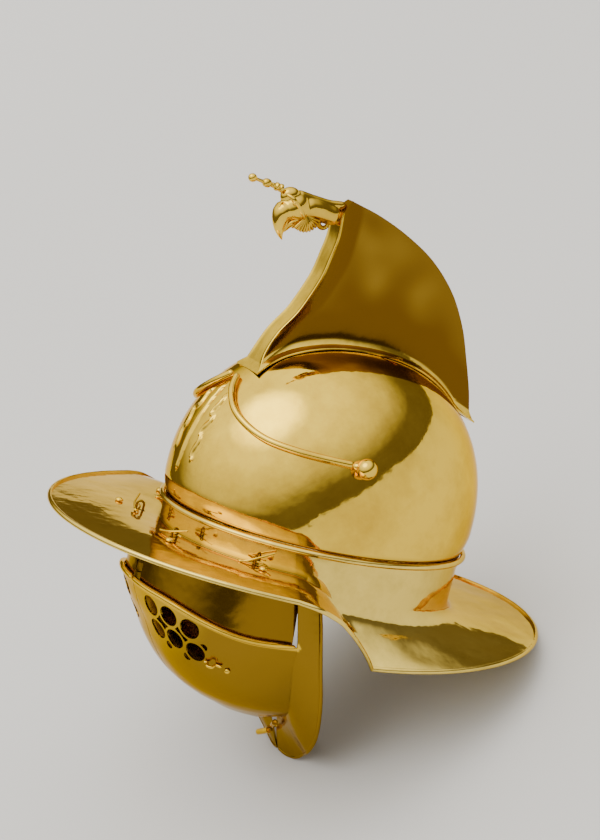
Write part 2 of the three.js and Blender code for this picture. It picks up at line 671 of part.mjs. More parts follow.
// The stars by their place in the grille, counted in rings from the first one
const starRows = [
  { column: 0.5, row: 0.5, corners: [0, 1, 2, 3] }, { column: 1.5, row: 0.5, corners: [0, 1, 2, 3] },
  { column: 0.5, row: 1.5, corners: [2, 3] }, { column: 1.5, row: 1.5, corners: [2, 3] },
  { column: 2.5, row: 0.5, corners: [1, 2] },
];

function grillePunches() {
  const place = (column, row) =>
    [visor.grilleIn + visor.grillePitch * column, visor.grilleDown + visor.grillePitch * row];
  const rings = [0, 1].flatMap((row) => [0, 1, 2].map((column) =>
    punch(...place(column, row), roundOutline(visor.holeRadius, 10))));
  const stars = starRows.map(({ column, row, corners }) =>
    punch(...place(column, row), starOutline(corners)));
  return [...rings, ...stars];
}

// A path whose ends stop just short, so that a bar along it ends inside the sheet it edges
function drawnIn(points, share) {
  const first = points[0].clone().lerp(points[1], share);
  const last = points.at(-1).clone().lerp(points.at(-2), share);
  return [first, ...points.slice(1, -1), last];
}

function visorHalf() {
  const bowl = sheetSolid(offsetGrid(bowlGrid, sheet / 2), offsetGrid(bowlGrid, -sheet / 2));
  const finer = (row) => curve(row).getPoints(12);
  const fold = finer(bandFold);
  const edge = finer(bandEdge);
  const bandGrid = fold.map((point, i) => {
    const inward = point.clone().sub(edge[i]).normalize();
    const flare = point.clone().lerp(edge[i], 0.5).add(vec(-1.2, -0.8, 0));
    return [point.clone().addScaledVector(inward, i > 3 ? 0.9 : 0), flare, edge[i]];
  });
  const band = sheetSolid(offsetGrid(bandGrid, sheet / 2), offsetGrid(bandGrid, -sheet / 2));
  const border = bar(drawnIn(edge, 0.17), visor.borderRadius, 4);
  const lip = steps(9, 0.014, 0.985).map((u) => bowlPoint(u, 0).add(vec(0, 0, 0.4)));
  const rib = bar(lip, lip.map((_, i) => visor.ribRadius * (i > 8 ? 0.7 : 1)), 5);
  return join(cut(bowl, ...grillePunches()), band, border, rib);
}

// The plate above the rib, inside the visor, with the wire loops that hang it from the brim

const plateInset = 3.5; // behind the bowl's face
const plateThick = 1.2;
const plateLap = 0.055; // how far down the bowl the plate laps behind the rib
const plateForward = 10; // how far its rear end leans towards the face

function brimUnder(x, y) {
  const angle = Math.atan2(x, -y);
  const reach = Math.hypot(x, y);
  const cutAt = brimCut((angle * 180) / Math.PI / stepRows[0].rimAngle);
  const from = Math.hypot(cutAt.root.x, cutAt.root.y);
  const to = Math.hypot(cutAt.rim.x, cutAt.rim.y);
  const share = clamp((reach - from) / (to - from), 0, 1);
  return brimPoint(cutAt, share).z - sheet;
}

function platePoint(u, level) {
  const [inU, v] = [lerp(0.025, 0.975, u), Math.max(0, level) * plateLap];
  const base = bowlPoint(inU, v).addScaledVector(bowlNormal(inU, Math.max(v, 0.01)), -plateInset);
  if (level >= 0) return base;
  const top = brimUnder(base.x, base.y) - 1.3;
  const forward = plateForward * ease(u, 0.75, 1);
  return vec(base.x, base.y - forward * -level, lerp(base.z, top, -level));
}

const plateLevels = [-1, -0.5, 0, 0.5, 1];

const loopSpots = [0.2, 0.72];
const wire = 0.9; // radius
const loopHalf = 2.6;
const slot = { halfWidth: 1.6, halfLength: 4.4, depth: 9 };

function loopFrame(u) {
  const foot = platePoint(u, -1);
  const along = platePoint(u + 0.03, -1).sub(platePoint(u - 0.03, -1)).setZ(0).normalize();
  const out = vec(along.y, -along.x, 0);
  const slotTop = brimUnder(foot.x, foot.y) + sheet;
  return { foot, along, out, top: slotTop };
}

function wireLoop(u) {
  const { foot, out, top } = loopFrame(u);
  const at = (o, z) => foot.clone().addScaledVector(out, o).setZ(z);
  const low = foot.z - 6;
  return bar([
    at(-loopHalf, low), at(-loopHalf, top + 3),
    ...steps(5, Math.PI, 0).map((turn) =>
      at(loopHalf * Math.cos(turn), top + 4 + loopHalf * Math.sin(turn))),
    at(loopHalf, top + 3), at(loopHalf, low), at(loopHalf - 1, low - 1), at(-loopHalf, low - 1),
  ], wire, 6);
}

function upperPlate() {
  const grid = plateLevels.map((level) => steps(9).map((u) => platePoint(u, level)));
  const plate = sheetSolid(offsetGrid(grid, plateThick / 2), offsetGrid(grid, -plateThick / 2));
  return join(plate, ...loopSpots.map(wireLoop));
}

function slotTool(u) {
  const { foot, along, out, top } = loopFrame(u);
  const corner = (a, o, z) => foot.clone().addScaledVector(along, a).addScaledVector(out, o).setZ(z);
  const ring = (z) => [[-1, -1], [1, -1], [1, 1], [-1, 1]].map(([a, o]) =>
    corner(a * slot.halfWidth, o * slot.halfLength, z));
  return skin([ring(top - slot.depth), ring(top + slot.depth)]);
}

// A bent wire pin through the loop, one leg low and one leg leaning up
function hairpin(u, lean) {
  const { foot, out, along, top } = loopFrame(u);
  const at = (o, a, rise) => foot.clone().addScaledVector(out, o).addScaledVector(along, a).setZ(top + rise);
  return bar([
    at(0, 7, 2.4), at(0, 0, 2.6), at(1.6, -8, 1.9), at(3, -11.4, 1.6), at(4, -11.4, 1.8),
    at(4.4, -8, 2.4), at(4.6, 0, lean / 2), at(1, 13, lean),
  ], 0.75, 6);
}

// Where the rivets stand: the turn round the front brim, and the share out from its root
const rivetSpots = [{ turn: 0.324, reach: 0.376 }, { turn: 0.811, reach: 0.275 }];

// The brim's top face at a rivet, and the way the rivet stands on it
function rivetFrame(place) {
  const spot = brimPoint(brimCut(place.turn), place.reach);
  const small = 1.5;
  const topAt = (x, y) => brimUnder(x, y) + sheet;
  const slopeX = (topAt(spot.x + small, spot.y) - topAt(spot.x - small, spot.y)) / (2 * small);
  const slopeY = (topAt(spot.x, spot.y + small) - topAt(spot.x, spot.y - small)) / (2 * small);
  return { foot: vec(spot.x, spot.y, topAt(spot.x, spot.y)), up: vec(-slopeX, -slopeY, 1).normalize() };
}

// A turned rivet: a button head above the brim and a flat washer below it
const rivetRows = [
  { rise: -3.8, radius: 0.6 }, { rise: -3.6, radius: 2.2 }, { rise: -2.1, radius: 2.3 },
  { rise: -2.05, radius: 1 }, { rise: 0.35, radius: 1 }, { rise: 0.4, radius: 3 },
  { rise: 1.5, radius: 2.8 }, { rise: 2.5, radius: 1.7 }, { rise: 2.9, radius: 0.5 },
];

function rivet(spot) {
  const { foot, up } = rivetFrame(spot);
  return bar(
    rivetRows.map((row) => foot.clone().addScaledVector(up, row.rise)),
    rivetRows.map((row) => row.radius), 7);
}

const rivetBore = { radius: 1.5, depth: 8 };

function rivetHole(spot) {
  const { foot, up } = rivetFrame(spot);
  return bar([-rivetBore.depth, rivetBore.depth].map((rise) => foot.clone().addScaledVector(up, rise)),
    rivetBore.radius, 8);
}

// Small fittings on the visor

function faceFrame(along, down) {
  const [u, v] = bowlPlace(along, down);
  const normal = bowlNormal(u, v);
  const face = bowlPoint(u, v).addScaledVector(normal, sheet / 2 + gap);
  const across = vec(0, 0, 1).cross(normal).normalize();
  return { face, normal, across, fall: across.clone().cross(normal).normalize() };
}

// Millimetres along the bowl from the seam and down from the rib
const clipSpot = { along: 74, down: 33 };
const clipRivetSpot = { along: 87, down: 33 };

function visorClip() {
  const { face, normal, across } = faceFrame(clipSpot.along, clipSpot.down);
  const at = (a, n) => face.clone().addScaledVector(across, a).addScaledVector(normal, n);
  return bar([at(-6, 0.8), at(-3, 0.9), at(-2.2, 4.2), at(2.2, 4.2), at(3, 0.9), at(8, 0.8)], 1.1, 6);
}

function clipRivet() {
  const { face, normal } = faceFrame(clipRivetSpot.along, clipRivetSpot.down);
  return bar([0, 0.6, 1.4, 1.9].map((n) => face.clone().addScaledVector(normal, n)), [2.1, 2.1, 1.5, 0.5], 8);
}

// The chin catch: a short tube on each half's band, in line with each other. The places are
// millimetres from the band's own chin.
const chin = { left: bandFold.at(-1), right: mirrorPoint(bandEdge.at(-2)) };
const tubeRadius = 2.4;
const catchTubes = {
  left: { from: [0, -2.1, -10], to: [14, -9.3, -2.5], stand: [6.5, -2.6, -6.5] },
  right: { from: [-14, -8.1, 3.5], to: [7.5, -12.2, 13.5], stand: [-2.5, -7.4, 9] },
};

function catchTube(side) {
  const { from, to, stand } = catchTubes[side];
  const [start, end, foot] = [from, to, stand].map((place) => vec(...place).add(chin[side]));
  const centre = start.clone().lerp(end, 0.5);
  return join(bar([start, end], tubeRadius, 10), bar([centre, foot], [2.2, 3], 6));
}

// Colours and the assembly

const brass = (color, roughness) => new THREE.MeshStandardMaterial({ color, roughness, metalness: 1 });
const finishes = {
  bright: brass(0xd9a83a, 0.14),
  deep: brass(0xa8701c, 0.16),
  pale: brass(0xe8cf86, 0.2),
};

const helmet = new THREE.Group();

function add(name, geometry, finish) {
  const mesh = new THREE.Mesh(geometry, finishes[finish]);
  mesh.name = name;
  helmet.add(mesh);
  return mesh;
}

const slots = loopSpots.map(slotTool);
const holes = rivetSpots.map(rivetHole);
const brimTools = [...slots, ...holes].flatMap((tool) => [tool, mirrored(tool)]);

add("dome", join(domeBowl(), ...browWork()), "bright");
add("base_bead", beadRing(), "pale");
const brim = add("brim", cut(brimSheet, ...brimTools), "pale");
add("crest", crestBox(), "deep");
add("griffin_head", griffinHead(), "bright");
add("griffin_spike", griffinSpike(), "bright");

function addPair(name, geometry, finish) {
  const left = add(name + "_left", geometry, finish);
  add(name + "_right", mirrored(geometry), finish);
  return left;
}

addPair("brow_roll", browRoll(), "bright");
const visorLeft = addPair("visor_half", visorHalf(), "deep");
addPair("upper_plate", upperPlate(), "deep");
loopSpots.forEach((u, i) => {
  const place = ["front", "side"][i];
  addPair("hairpin_" + place, hairpin(u, [9, 12][i]), "bright");
  addPair("brim_rivet_" + place, rivet(rivetSpots[i]), "bright");
});
addPair("visor_clip", visorClip(), "bright");
addPair("clip_rivet", clipRivet(), "bright");
for (const side of ["left", "right"]) add("chin_catch_" + side, catchTube(side), "bright");

// Leans the helmet back until the chin and the neck guard's rim stand level, then sets it
// on the floor with the middle of its base at the origin

function lowest(mesh, lean) {
  const p = mesh.geometry.attributes.position;
  let low = Infinity;
  for (let i = 0; i < p.count; i++)
    low = Math.min(low, p.getY(i) * Math.sin(lean) + p.getZ(i) * Math.cos(lean));
  return low;
}

let [less, more] = [radians(-60), radians(-10)];
for (let i = 0; i < 40; i++) {
  const lean = (less + more) / 2;
  if (lowest(brim, lean) > lowest(visorLeft, lean)) more = lean;
  else less = lean;
}

const part = new THREE.Group();
part.add(helmet);
helmet.rotation.x = (less + more) / 2;
part.updateMatrixWorld(true);
const box = new THREE.Box3().setFromObject(part, true);
helmet.position.set(
  -(box.min.x + box.max.x) / 2, -(box.min.y + box.max.y) / 2, -box.min.z);

export default part;
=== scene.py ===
"""A thraex gladiator helmet in polished brass, resting on its chin and neck guard.

Each form is worked out in helmet millimetres, square to the bead at the dome's foot, and then
leaned back on to the floor in metres. The wearer faces -Y and the wearer's left is +X.
"""

from math import atan2, cos, exp, hypot, pi, radians, sin, sqrt

import bmesh
import bpy
import numpy as np
from mathutils import Matrix, Vector, noise


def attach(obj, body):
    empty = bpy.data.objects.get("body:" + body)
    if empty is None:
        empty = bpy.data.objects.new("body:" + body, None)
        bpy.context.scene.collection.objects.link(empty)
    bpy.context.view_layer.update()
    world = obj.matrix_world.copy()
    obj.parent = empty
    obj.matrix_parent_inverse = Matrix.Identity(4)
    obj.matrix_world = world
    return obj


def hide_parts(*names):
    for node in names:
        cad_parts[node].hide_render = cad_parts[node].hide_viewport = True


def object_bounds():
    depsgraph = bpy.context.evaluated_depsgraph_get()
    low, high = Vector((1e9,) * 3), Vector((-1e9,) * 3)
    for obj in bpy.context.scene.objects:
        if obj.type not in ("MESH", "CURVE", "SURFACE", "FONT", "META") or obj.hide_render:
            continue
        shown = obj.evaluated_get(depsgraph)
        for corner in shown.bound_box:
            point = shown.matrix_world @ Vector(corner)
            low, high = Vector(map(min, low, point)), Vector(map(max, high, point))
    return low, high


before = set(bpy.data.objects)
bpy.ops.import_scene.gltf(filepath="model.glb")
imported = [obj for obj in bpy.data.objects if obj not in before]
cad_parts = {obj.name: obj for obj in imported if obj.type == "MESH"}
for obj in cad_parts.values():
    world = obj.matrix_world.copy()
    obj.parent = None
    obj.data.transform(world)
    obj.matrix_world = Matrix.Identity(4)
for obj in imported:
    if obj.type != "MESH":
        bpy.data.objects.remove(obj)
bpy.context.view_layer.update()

# How the helmet rests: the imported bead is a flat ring, so its points give the lean and
# the middle of the helmet's own frame.
MM = 0.001
bead_points = np.unique(
    np.array([v.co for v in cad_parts["base_bead"].data.vertices]).round(6), axis=0
)
bead_middle = bead_points.mean(axis=0)
bead_normal = np.linalg.svd(bead_points - bead_middle)[2][2]
lean = atan2(-bead_normal[1], bead_normal[2]) if bead_normal[2] > 0 else atan2(
    bead_normal[1], -bead_normal[2]
)
turn_back = Matrix.Rotation(lean, 4, "X")
BEAD_HEIGHT = 0.3  # of the bead's middle above the helmet's own origin
rest = (
    Matrix.Translation(Vector(bead_middle))
    @ turn_back
    @ Matrix.Scale(MM, 4)
    @ Matrix.Translation((0, 0, -BEAD_HEIGHT))
)

# The camera, at the photo's angle to the helmet. The angles are in the helmet's own frame, and
# the picture is 600 by 840.
CAMERA_AWAY = 1700
CAMERA_TURN = radians(29.898)  # from the wearer's left towards the front
CAMERA_RISE = radians(12.378)
CAMERA_ROLL = radians(14.287)
FOCAL_PIXELS = 2256
PICTURE_WIDE, PICTURE_HIGH = 600, 840
ORIGIN_PIXEL = (314.14, 522.11)
SENSOR = 36

to_camera = Vector((
    cos(CAMERA_RISE) * cos(CAMERA_TURN), -cos(CAMERA_RISE) * sin(CAMERA_TURN), sin(CAMERA_RISE)
))
level_right = Vector((sin(CAMERA_TURN), cos(CAMERA_TURN), 0))
level_up = to_camera.cross(level_right)
camera_right = level_right * cos(CAMERA_ROLL) + level_up * sin(CAMERA_ROLL)
camera_up = level_up * cos(CAMERA_ROLL) - level_right * sin(CAMERA_ROLL)
camera_axes = Matrix((camera_right, camera_up, to_camera)).transposed().to_4x4()

lens = bpy.data.cameras.new("camera")
lens.sensor_width = SENSOR
lens.lens = FOCAL_PIXELS * SENSOR / PICTURE_HIGH
lens.shift_x = (PICTURE_WIDE / 2 - ORIGIN_PIXEL[0]) / PICTURE_HIGH
lens.shift_y = (ORIGIN_PIXEL[1] - PICTURE_HIGH / 2) / PICTURE_HIGH
camera = bpy.data.objects.new("camera", lens)
camera.matrix_world = (
    Matrix.Translation(rest @ (to_camera * CAMERA_AWAY)) @ turn_back @ camera_axes
)
bpy.context.scene.collection.objects.link(camera)
bpy.context.scene.camera = camera


# Brass: rolled sheet, raised and planished by hand, then polished. It keeps a soft
# unevenness, fine buffing marks and a darker colour in its folds, and the same dark colour
# paints shade on the visor and a dark reflection on the crest's broad sides.
class Value:
    """A shader value. Python's operators on it add Math nodes."""

    def __init__(self, finish, socket):
        self.finish = finish
        self.socket = socket

    def math(self, operation, first, second):
        return self.finish.node("ShaderNodeMath", {"operation": operation}, {0: first, 1: second})

    def __add__(self, other):
        return self.math("ADD", self, other)

    def __mul__(self, other):
        return self.math("MULTIPLY", self, other)

    __radd__ = __add__
    __rmul__ = __mul__


class Finish:
    """A material. One method adds any node, with its settings and its inputs."""

    def __init__(self, name):
        self.material = bpy.data.materials.new(name)
        self.material.use_nodes = True
        self.tree = self.material.node_tree
        self.shader = self.tree.nodes["Principled BSDF"]

    def feed(self, socket, value):
        if isinstance(value, Value):
            self.tree.links.new(value.socket, socket)
        else:
            socket.default_value = value

    def node(self, kind, settings=None, inputs=None, output=0):
        made = self.tree.nodes.new(kind)
        for key, value in (settings or {}).items():
            setattr(made, key, value)
        for key, value in (inputs or {}).items():
            self.feed(made.inputs[key], value)
        return Value(self, made.outputs[output])

    def mix(self, share, first, second):
        return self.node(
            "ShaderNodeMix", {"data_type": "RGBA"}, {0: share, 6: first, 7: second}, output=2
        )


GLANCING_TINT = (0.92, 0.72, 0.38, 1)  # the colour of brass seen edge on


def brass(name, gold, shade, polish, buffing, planish, buffing_turn=(0, 0, 0)):
    """Polished brass: gold where it is clean; shade in random dull patches and wherever a piece's
    darkening, painted shade and painted dark reflection ask for it.
    """
    finish = Finish(name)
    place = finish.node("ShaderNodeTexCoord", output="Object")
    cloud = finish.node(
        "ShaderNodeTexNoise", {}, {"Vector": place, "Scale": 14, "Detail": 5, "Roughness": 0.62}
    )
    smudge = finish.node(
        "ShaderNodeTexNoise", {}, {"Vector": place, "Scale": 75, "Detail": 6, "Roughness": 0.7}
    )
    marks, cross_marks = (
        finish.node("ShaderNodeTexNoise", {}, {
            "Vector": finish.node(
                "ShaderNodeMapping", {}, {"Vector": place, "Rotation": turn, "Scale": stretch}
            ),
            "Scale": 1,
            "Detail": detail,
        })
        for turn, stretch, detail in (
            (buffing_turn, (9, 420, 420), 3), ((0.4, 1.1, 0.7), (700, 14, 700), 2)
        )
    )
    # Each piece's darkening, painted shade and painted dark reflection, read from its vertices.
    darkening_and_painted_shade = finish.node("ShaderNodeAttribute", {"attribute_name": "darkening_and_painted_shade"}, output="Fac")
    dull = finish.node(
        "ShaderNodeMapRange", {"clamp": True},
        {"Value": cloud * 0.7 + smudge * 0.3, 1: 0.42, 2: 0.68, 3: 0, 4: 0.55},
    )
    dullness_and_painted_shade = finish.node("ShaderNodeMath", {"operation": "MAXIMUM"}, {0: dull, 1: darkening_and_painted_shade})
    finish.feed(finish.shader.inputs["Base Color"], finish.mix(dullness_and_painted_shade, gold, shade))
    finish.shader.inputs["Specular Tint"].default_value = GLANCING_TINT
    finish.feed(
        finish.shader.inputs["Roughness"], dullness_and_painted_shade * 0.12 + smudge * 0.05 + marks * 0.05 + (polish - 0.05)
    )
    hammer = finish.node("ShaderNodeTexNoise", {}, {"Vector": place, "Scale": 48, "Detail": 2})
    waves = finish.node(
        "ShaderNodeBump", {}, {"Strength": planish, "Distance": 0.002, "Height": hammer}
    )
    bump = finish.node("ShaderNodeBump", {}, {
        "Strength": buffing, "Distance": 0.0002, "Height": marks + cross_marks * 0.6, "Normal": waves,
    })
    finish.feed(finish.shader.inputs["Normal"], bump)
    finish.shader.inputs["Metallic"].default_value = 1
    finish.material["slot"] = name
    return finish.material


dome_brass = brass("dome_brass", (0.84, 0.57, 0.06, 1), (0.36, 0.18, 0.006, 1), 0.045, 0.05, 0.16)
rim_brass = brass("rim_brass", (0.82, 0.61, 0.13, 1), (0.3, 0.2, 0.02, 1), 0.06, 0.07, 0.22)
# The crest's deep shade colour serves its random dull patches and the painted dark reflection on its
# broad sides.
crest_brass = brass(
    "crest_brass", (0.84, 0.58, 0.07, 1), (0.11, 0.043, 0.002, 1), 0.08, 0.08, 0.25, (0.9, 0, 0)
)
# The visor's deep shade colour serves its random dull patches and the painted shade under the brim.
visor_brass = brass(
    "visor_brass", (0.8, 0.52, 0.04, 1), (0.11, 0.046, 0.003, 1), 0.07, 0.08, 0.3, (0, 0.8, 0)
)
fitting_brass = brass("fitting_brass", (0.84, 0.56, 0.05, 1), (0.25, 0.13, 0.01, 1), 0.1, 0.03, 0.1)


# The dome: one raised bowl of sheet, open below, with scrolls and a leaf chased up from
# inside on the brow.
SHEET = 1.5
HALF_LONG, HALF_WIDE, SHOULDER, RISE, POWER, FOOT, TUCK = 122.5, 99.5, 20, 116, 2.2, 2.9, 5
SIDE_TUCK = 0.11


def blend(low, high, share):
    return low + (high - low) * share


def clamp(value, low=0.0, high=1.0):
    return max(low, min(high, value))


def ease(value, low, high):
    share = clamp((value - low) / (high - low))
    return share * share * (3 - 2 * share)


def dome_face(angle, height, stand=0.0):
    """The dome's outer face, by angle from the front and by height."""
    above = clamp((height - SHOULDER) / (RISE + stand))
    below = clamp((SHOULDER - height) / (SHOULDER - FOOT))
    curve_in = max(0.0, 1 - above**POWER) ** (1 / POWER)
    long = (HALF_LONG + stand) * curve_in - TUCK * below * below
    wide = (HALF_WIDE + stand) * curve_in - TUCK * SIDE_TUCK * below * below
    return Vector((wide * sin(angle), -long * cos(angle), height))


def dome_top(x, y):
    """Where the dome's outer face is above a point in plan."""
    away = hypot(x / HALF_WIDE, y / HALF_LONG)
    return SHOULDER + RISE * max(0.0, 1 - away**POWER) ** (1 / POWER)


def unevenness(point, size, depth):
    """How far hand work leaves a sheet off its true face, in millimetres."""
    return depth * noise.noise(Vector(point) / size)


def grid_form(across, along, place):
    """A grid of faces, each point set by place(u, v) in helmet millimetres."""
    form = bmesh.new()
    bmesh.ops.create_grid(form, x_segments=across, y_segments=along, size=0.5)
    for vert in form.verts:
        vert.co = place(vert.co.x + 0.5, vert.co.y + 0.5)
    bmesh.ops.remove_doubles(form, verts=form.verts, dist=1e-3)
    return form


def skin_form(rows):
    """A skin over rows that all have the same number of points."""
    across, along = len(rows[0]) - 1, len(rows) - 1
    return grid_form(across, along, lambda u, v: rows[round(v * along)][round(u * across)])


def face_outwards(form):
    bmesh.ops.recalc_face_normals(form, faces=form.faces)
    if form.calc_volume(signed=True) < 0:
        bmesh.ops.reverse_faces(form, faces=form.faces)


def add_form(whole, part):
    """Puts one form's faces into another's."""
    carried = bpy.data.meshes.new("carried")
    part.to_mesh(carried)
    part.free()
    whole.from_mesh(carried)
    bpy.data.meshes.remove(carried)


SHARP = radians(38)


def make_piece(form, name, material, darkening_and_painted_shade=None):
    """An object at the origin, leaned to its place, whose darkening and painted shade follow the given
    function of each point.
    """
    bmesh.ops.recalc_face_normals(form, faces=form.faces)
    layer = form.verts.layers.float.new("darkening_and_painted_shade")
    for vert in form.verts:
        vert[layer] = clamp(darkening_and_painted_shade(vert.co)) if darkening_and_painted_shade else 0.0
    bmesh.ops.transform(form, matrix=rest, verts=form.verts)
    mesh = bpy.data.meshes.new(name)
    form.to_mesh(mesh)
    form.free()
    mesh.materials.append(material)
    mesh.shade_smooth()
    mesh.set_sharp_from_angle(angle=SHARP)
    piece = bpy.data.objects.new(name, mesh)
    bpy.context.scene.collection.objects.link(piece)
    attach(piece, "root")
    return piece


# S-scrolls, by angle from the front, height, half length and the way they lie
SCROLLS = [
    {"angle": 7.4, "height": 80, "half": 9, "lie": 62, "curl": 2.5},
    {"angle": 8.6, "height": 65, "half": 10.5, "lie": 50, "curl": 2.6},
    {"angle": 8.4, "height": 48, "half": 11.5, "lie": 66, "curl": 2.3},
]
BROW_REACH = 118  # millimetres of brow for each radian
SCROLL_STEPS, SCROLL_HALF, SCROLL_TAPER = 26, 2.3, 0.72


def scroll_points(scroll, side):
    """An S whose curl grows evenly towards both of its ends, as (across, up, half width)."""
    points = []
    for way in (1, -1):
        x = y = 0.0
        for step in range(SCROLL_STEPS):
            along = step / SCROLL_STEPS
            heading = radians(scroll["lie"]) + scroll["curl"] * along * along
            points.append((x, y, SCROLL_HALF * (1 - SCROLL_TAPER * along)))
            x += way * scroll["half"] / SCROLL_STEPS * cos(heading)
            y += way * scroll["half"] / SCROLL_STEPS * sin(heading)
    middle = radians(scroll["angle"]) * BROW_REACH
    return [(side * (middle + x), scroll["height"] + y, half) for x, y, half in points]


raised = [point for scroll in SCROLLS for side in (1, -1) for point in scroll_points(scroll, side)]
LEAF_LOW, LEAF_HIGH, LEAF_HALF, LEAF_TIP, LEAF_STEPS = 28, 92, 2.6, 0.8, 40
for step in range(LEAF_STEPS + 1):
    share = step / LEAF_STEPS
    raised.append((0, blend(LEAF_LOW, LEAF_HIGH, share), LEAF_TIP + LEAF_HALF * sin(pi * share)))
raised = np.array(raised)
RELIEF, RELIEF_SKIRT = 1.7, 0.7
BROW_ZONE = radians(20)
BROW_LOW, BROW_HIGH = 20, 105


def relief(angle, height):
    """How far the chased work stands above the brow."""
    if abs(angle) > BROW_ZONE or not BROW_LOW < height < BROW_HIGH:
        return 0.0
    away = np.hypot(raised[:, 0] - angle * BROW_REACH, raised[:, 1] - height)
    near = clamp(1 - float((away / (raised[:, 2] + RELIEF_SKIRT)).min()))
    return RELIEF * sqrt(near) * ease(near, 0, 0.35)


BROW_SHARE = 0.46  # of the dome's columns, in the narrow brow zone
LOW_SHARE = 0.1  # of the dome's rows, below the shoulder


def dome_place(u, v):
    centred = 2 * u - 1
    if abs(centred) < BROW_SHARE:
        angle = BROW_ZONE * centred / BROW_SHARE
    else:
        outer = (abs(centred) - BROW_SHARE) / (1 - BROW_SHARE)
        angle = blend(BROW_ZONE, pi, outer) * (1 if centred > 0 else -1)
    if v < LOW_SHARE:
        height = blend(FOOT, SHOULDER, v / LOW_SHARE)
    else:
        climb = (v - LOW_SHARE) / (1 - LOW_SHARE) * pi / 2
        height = SHOULDER + RISE * sin(climb) ** (2 / POWER)
    plain = dome_face(angle, height)
    return dome_face(angle, height, relief(angle, height) + unevenness(plain, 30, 0.16))


# Darker towards the dome's foot and on the skirts of the chased work.
def dome_darkening(point):
    low = 1 - ease(point.z, FOOT, 7)
    angle = atan2(point.x, -point.y)
    chased = relief(angle, point.z) if point.y < 0 else 0.0
    valley = 0.5 if 0.02 < chased < 0.55 else 0.0
    return max(0.6 * low, valley)


dome = make_piece(grid_form(250, 124, dome_place), "dome_bowl", dome_brass, dome_darkening)
wall = dome.modifiers.new("wall", "SOLIDIFY")
wall.thickness, wall.offset, wall.use_even_offset = SHEET * MM, -1, True
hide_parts("dome")


# The brim: one sheet from the wall under the dome to a rolled edge, wide in front, with a
# step at the temples and a lower neck guard behind. The loops' slots are punched through it.
WALL_LONG, WALL_WIDE, WALL_TOP = 117.5, 99, 2.3
FRONT_LONG, FRONT_WIDE, FRONT_HEIGHT = 204, 173, -18
NECK_RADIUS, NECK_CENTRE, NECK_HEIGHT, NECK_CLIMB = 143, 52, -69, 0.123
ROOT_FRONT, ROOT_NECK = -18.5, -43
RIM_ROLL = 1.9
BRIM_CROWN, GUARD_DISH = 3.4, 3
STEP = {  # each measure of the step's cuts, from the front brim back to the neck guard
    "root_angle": (58, 63, 69, 73, 77, 80.5, 84),
    "rim_angle": (61.4, 66.2, 71.8, 75.4, 80.5, 86.3, 90),
    "root_drop": (0, 0.08, 0.24, 0.47, 0.71, 0.92, 1),
    "draw_in": (0, 0.02, 0.2, 0.37, 0.61, 0.83, 1),
    "rim_drop": (0, 0.04, 0.18, 0.33, 0.56, 0.83, 1),
}


def ellipse_point(angle, long, wide, height):
    reach = 1 / hypot(sin(angle) / wide, cos(angle) / long)
    return Vector((reach * sin(angle), -reach * cos(angle), height))


def hermite(t, start, end, lead, tail):
    """A smooth change from start, left along lead, to end, reached along tail."""
    outset = (2 * t**3 - 3 * t**2 + 1) * start + (t**3 - 2 * t**2 + t) * lead
    return outset + (3 * t**2 - 2 * t**3) * end + (t**3 - t**2) * tail


def step_at(measure, share):
    """A measure of the step, smoothed between its cuts so that the sheet shows no kinks."""
    values = STEP[measure]
    last = len(values) - 1
    low = min(int(share * last), last - 1)
    before, start, end, after = (values[max(0, min(last, low + i))] for i in (-1, 0, 1, 2))
    return hermite(share * last - low, start, end, (end - before) / 2, (after - start) / 2)


FRONT_REACH = ellipse_point(radians(STEP["rim_angle"][0]), FRONT_LONG, FRONT_WIDE, 0).length
NECK_REACH = sqrt(NECK_RADIUS**2 - NECK_CENTRE**2)


def brim_cut(turn):
    """The root, the rim and the crown of the brim, front at 0, neck guard from 2 to 3."""
    side = -1 if turn < 0 else 1
    turn = abs(turn)
    if turn <= 1:
        root = ellipse_point(radians(STEP["root_angle"][0]) * turn, WALL_LONG, WALL_WIDE, ROOT_FRONT)
        rim_angle = radians(STEP["rim_angle"][0]) * turn
        rim = ellipse_point(rim_angle, FRONT_LONG, FRONT_WIDE, FRONT_HEIGHT)
        bulge = BRIM_CROWN
    elif turn <= 2:
        share = turn - 1
        angle = radians(step_at("rim_angle", share))
        reach = blend(FRONT_REACH, NECK_REACH, step_at("draw_in", share))
        root_height = blend(ROOT_FRONT, ROOT_NECK, step_at("root_drop", share))
        root = ellipse_point(radians(step_at("root_angle", share)), WALL_LONG, WALL_WIDE, root_height)
        rim_height = blend(FRONT_HEIGHT, NECK_HEIGHT, step_at("rim_drop", share))
        rim = Vector((reach * sin(angle), -reach * cos(angle), rim_height))
        bulge = BRIM_CROWN * (1 - share)
    else:
        share = turn - 2
        angle = blend(radians(STEP["rim_angle"][-1]), pi, share)
        reach = -NECK_CENTRE * cos(angle) + sqrt(NECK_RADIUS**2 - (NECK_CENTRE * sin(angle)) ** 2)
        rim = Vector((reach * sin(angle), -reach * cos(angle), 0))
        rim.z = NECK_HEIGHT + NECK_CLIMB * rim.y
        root_angle = blend(radians(STEP["root_angle"][-1]), pi, share)
        root = ellipse_point(root_angle, WALL_LONG, WALL_WIDE, ROOT_NECK)
        bulge = -GUARD_DISH * sin(pi * min(1, share * 1.6))
    root.x *= side
    rim.x *= side
    return root, rim, bulge


def brim_point(cut, reach):
    root, rim, bulge = cut
    point = root.lerp(rim, reach)
    point.z += bulge * sin(pi * reach**0.7)
    return point


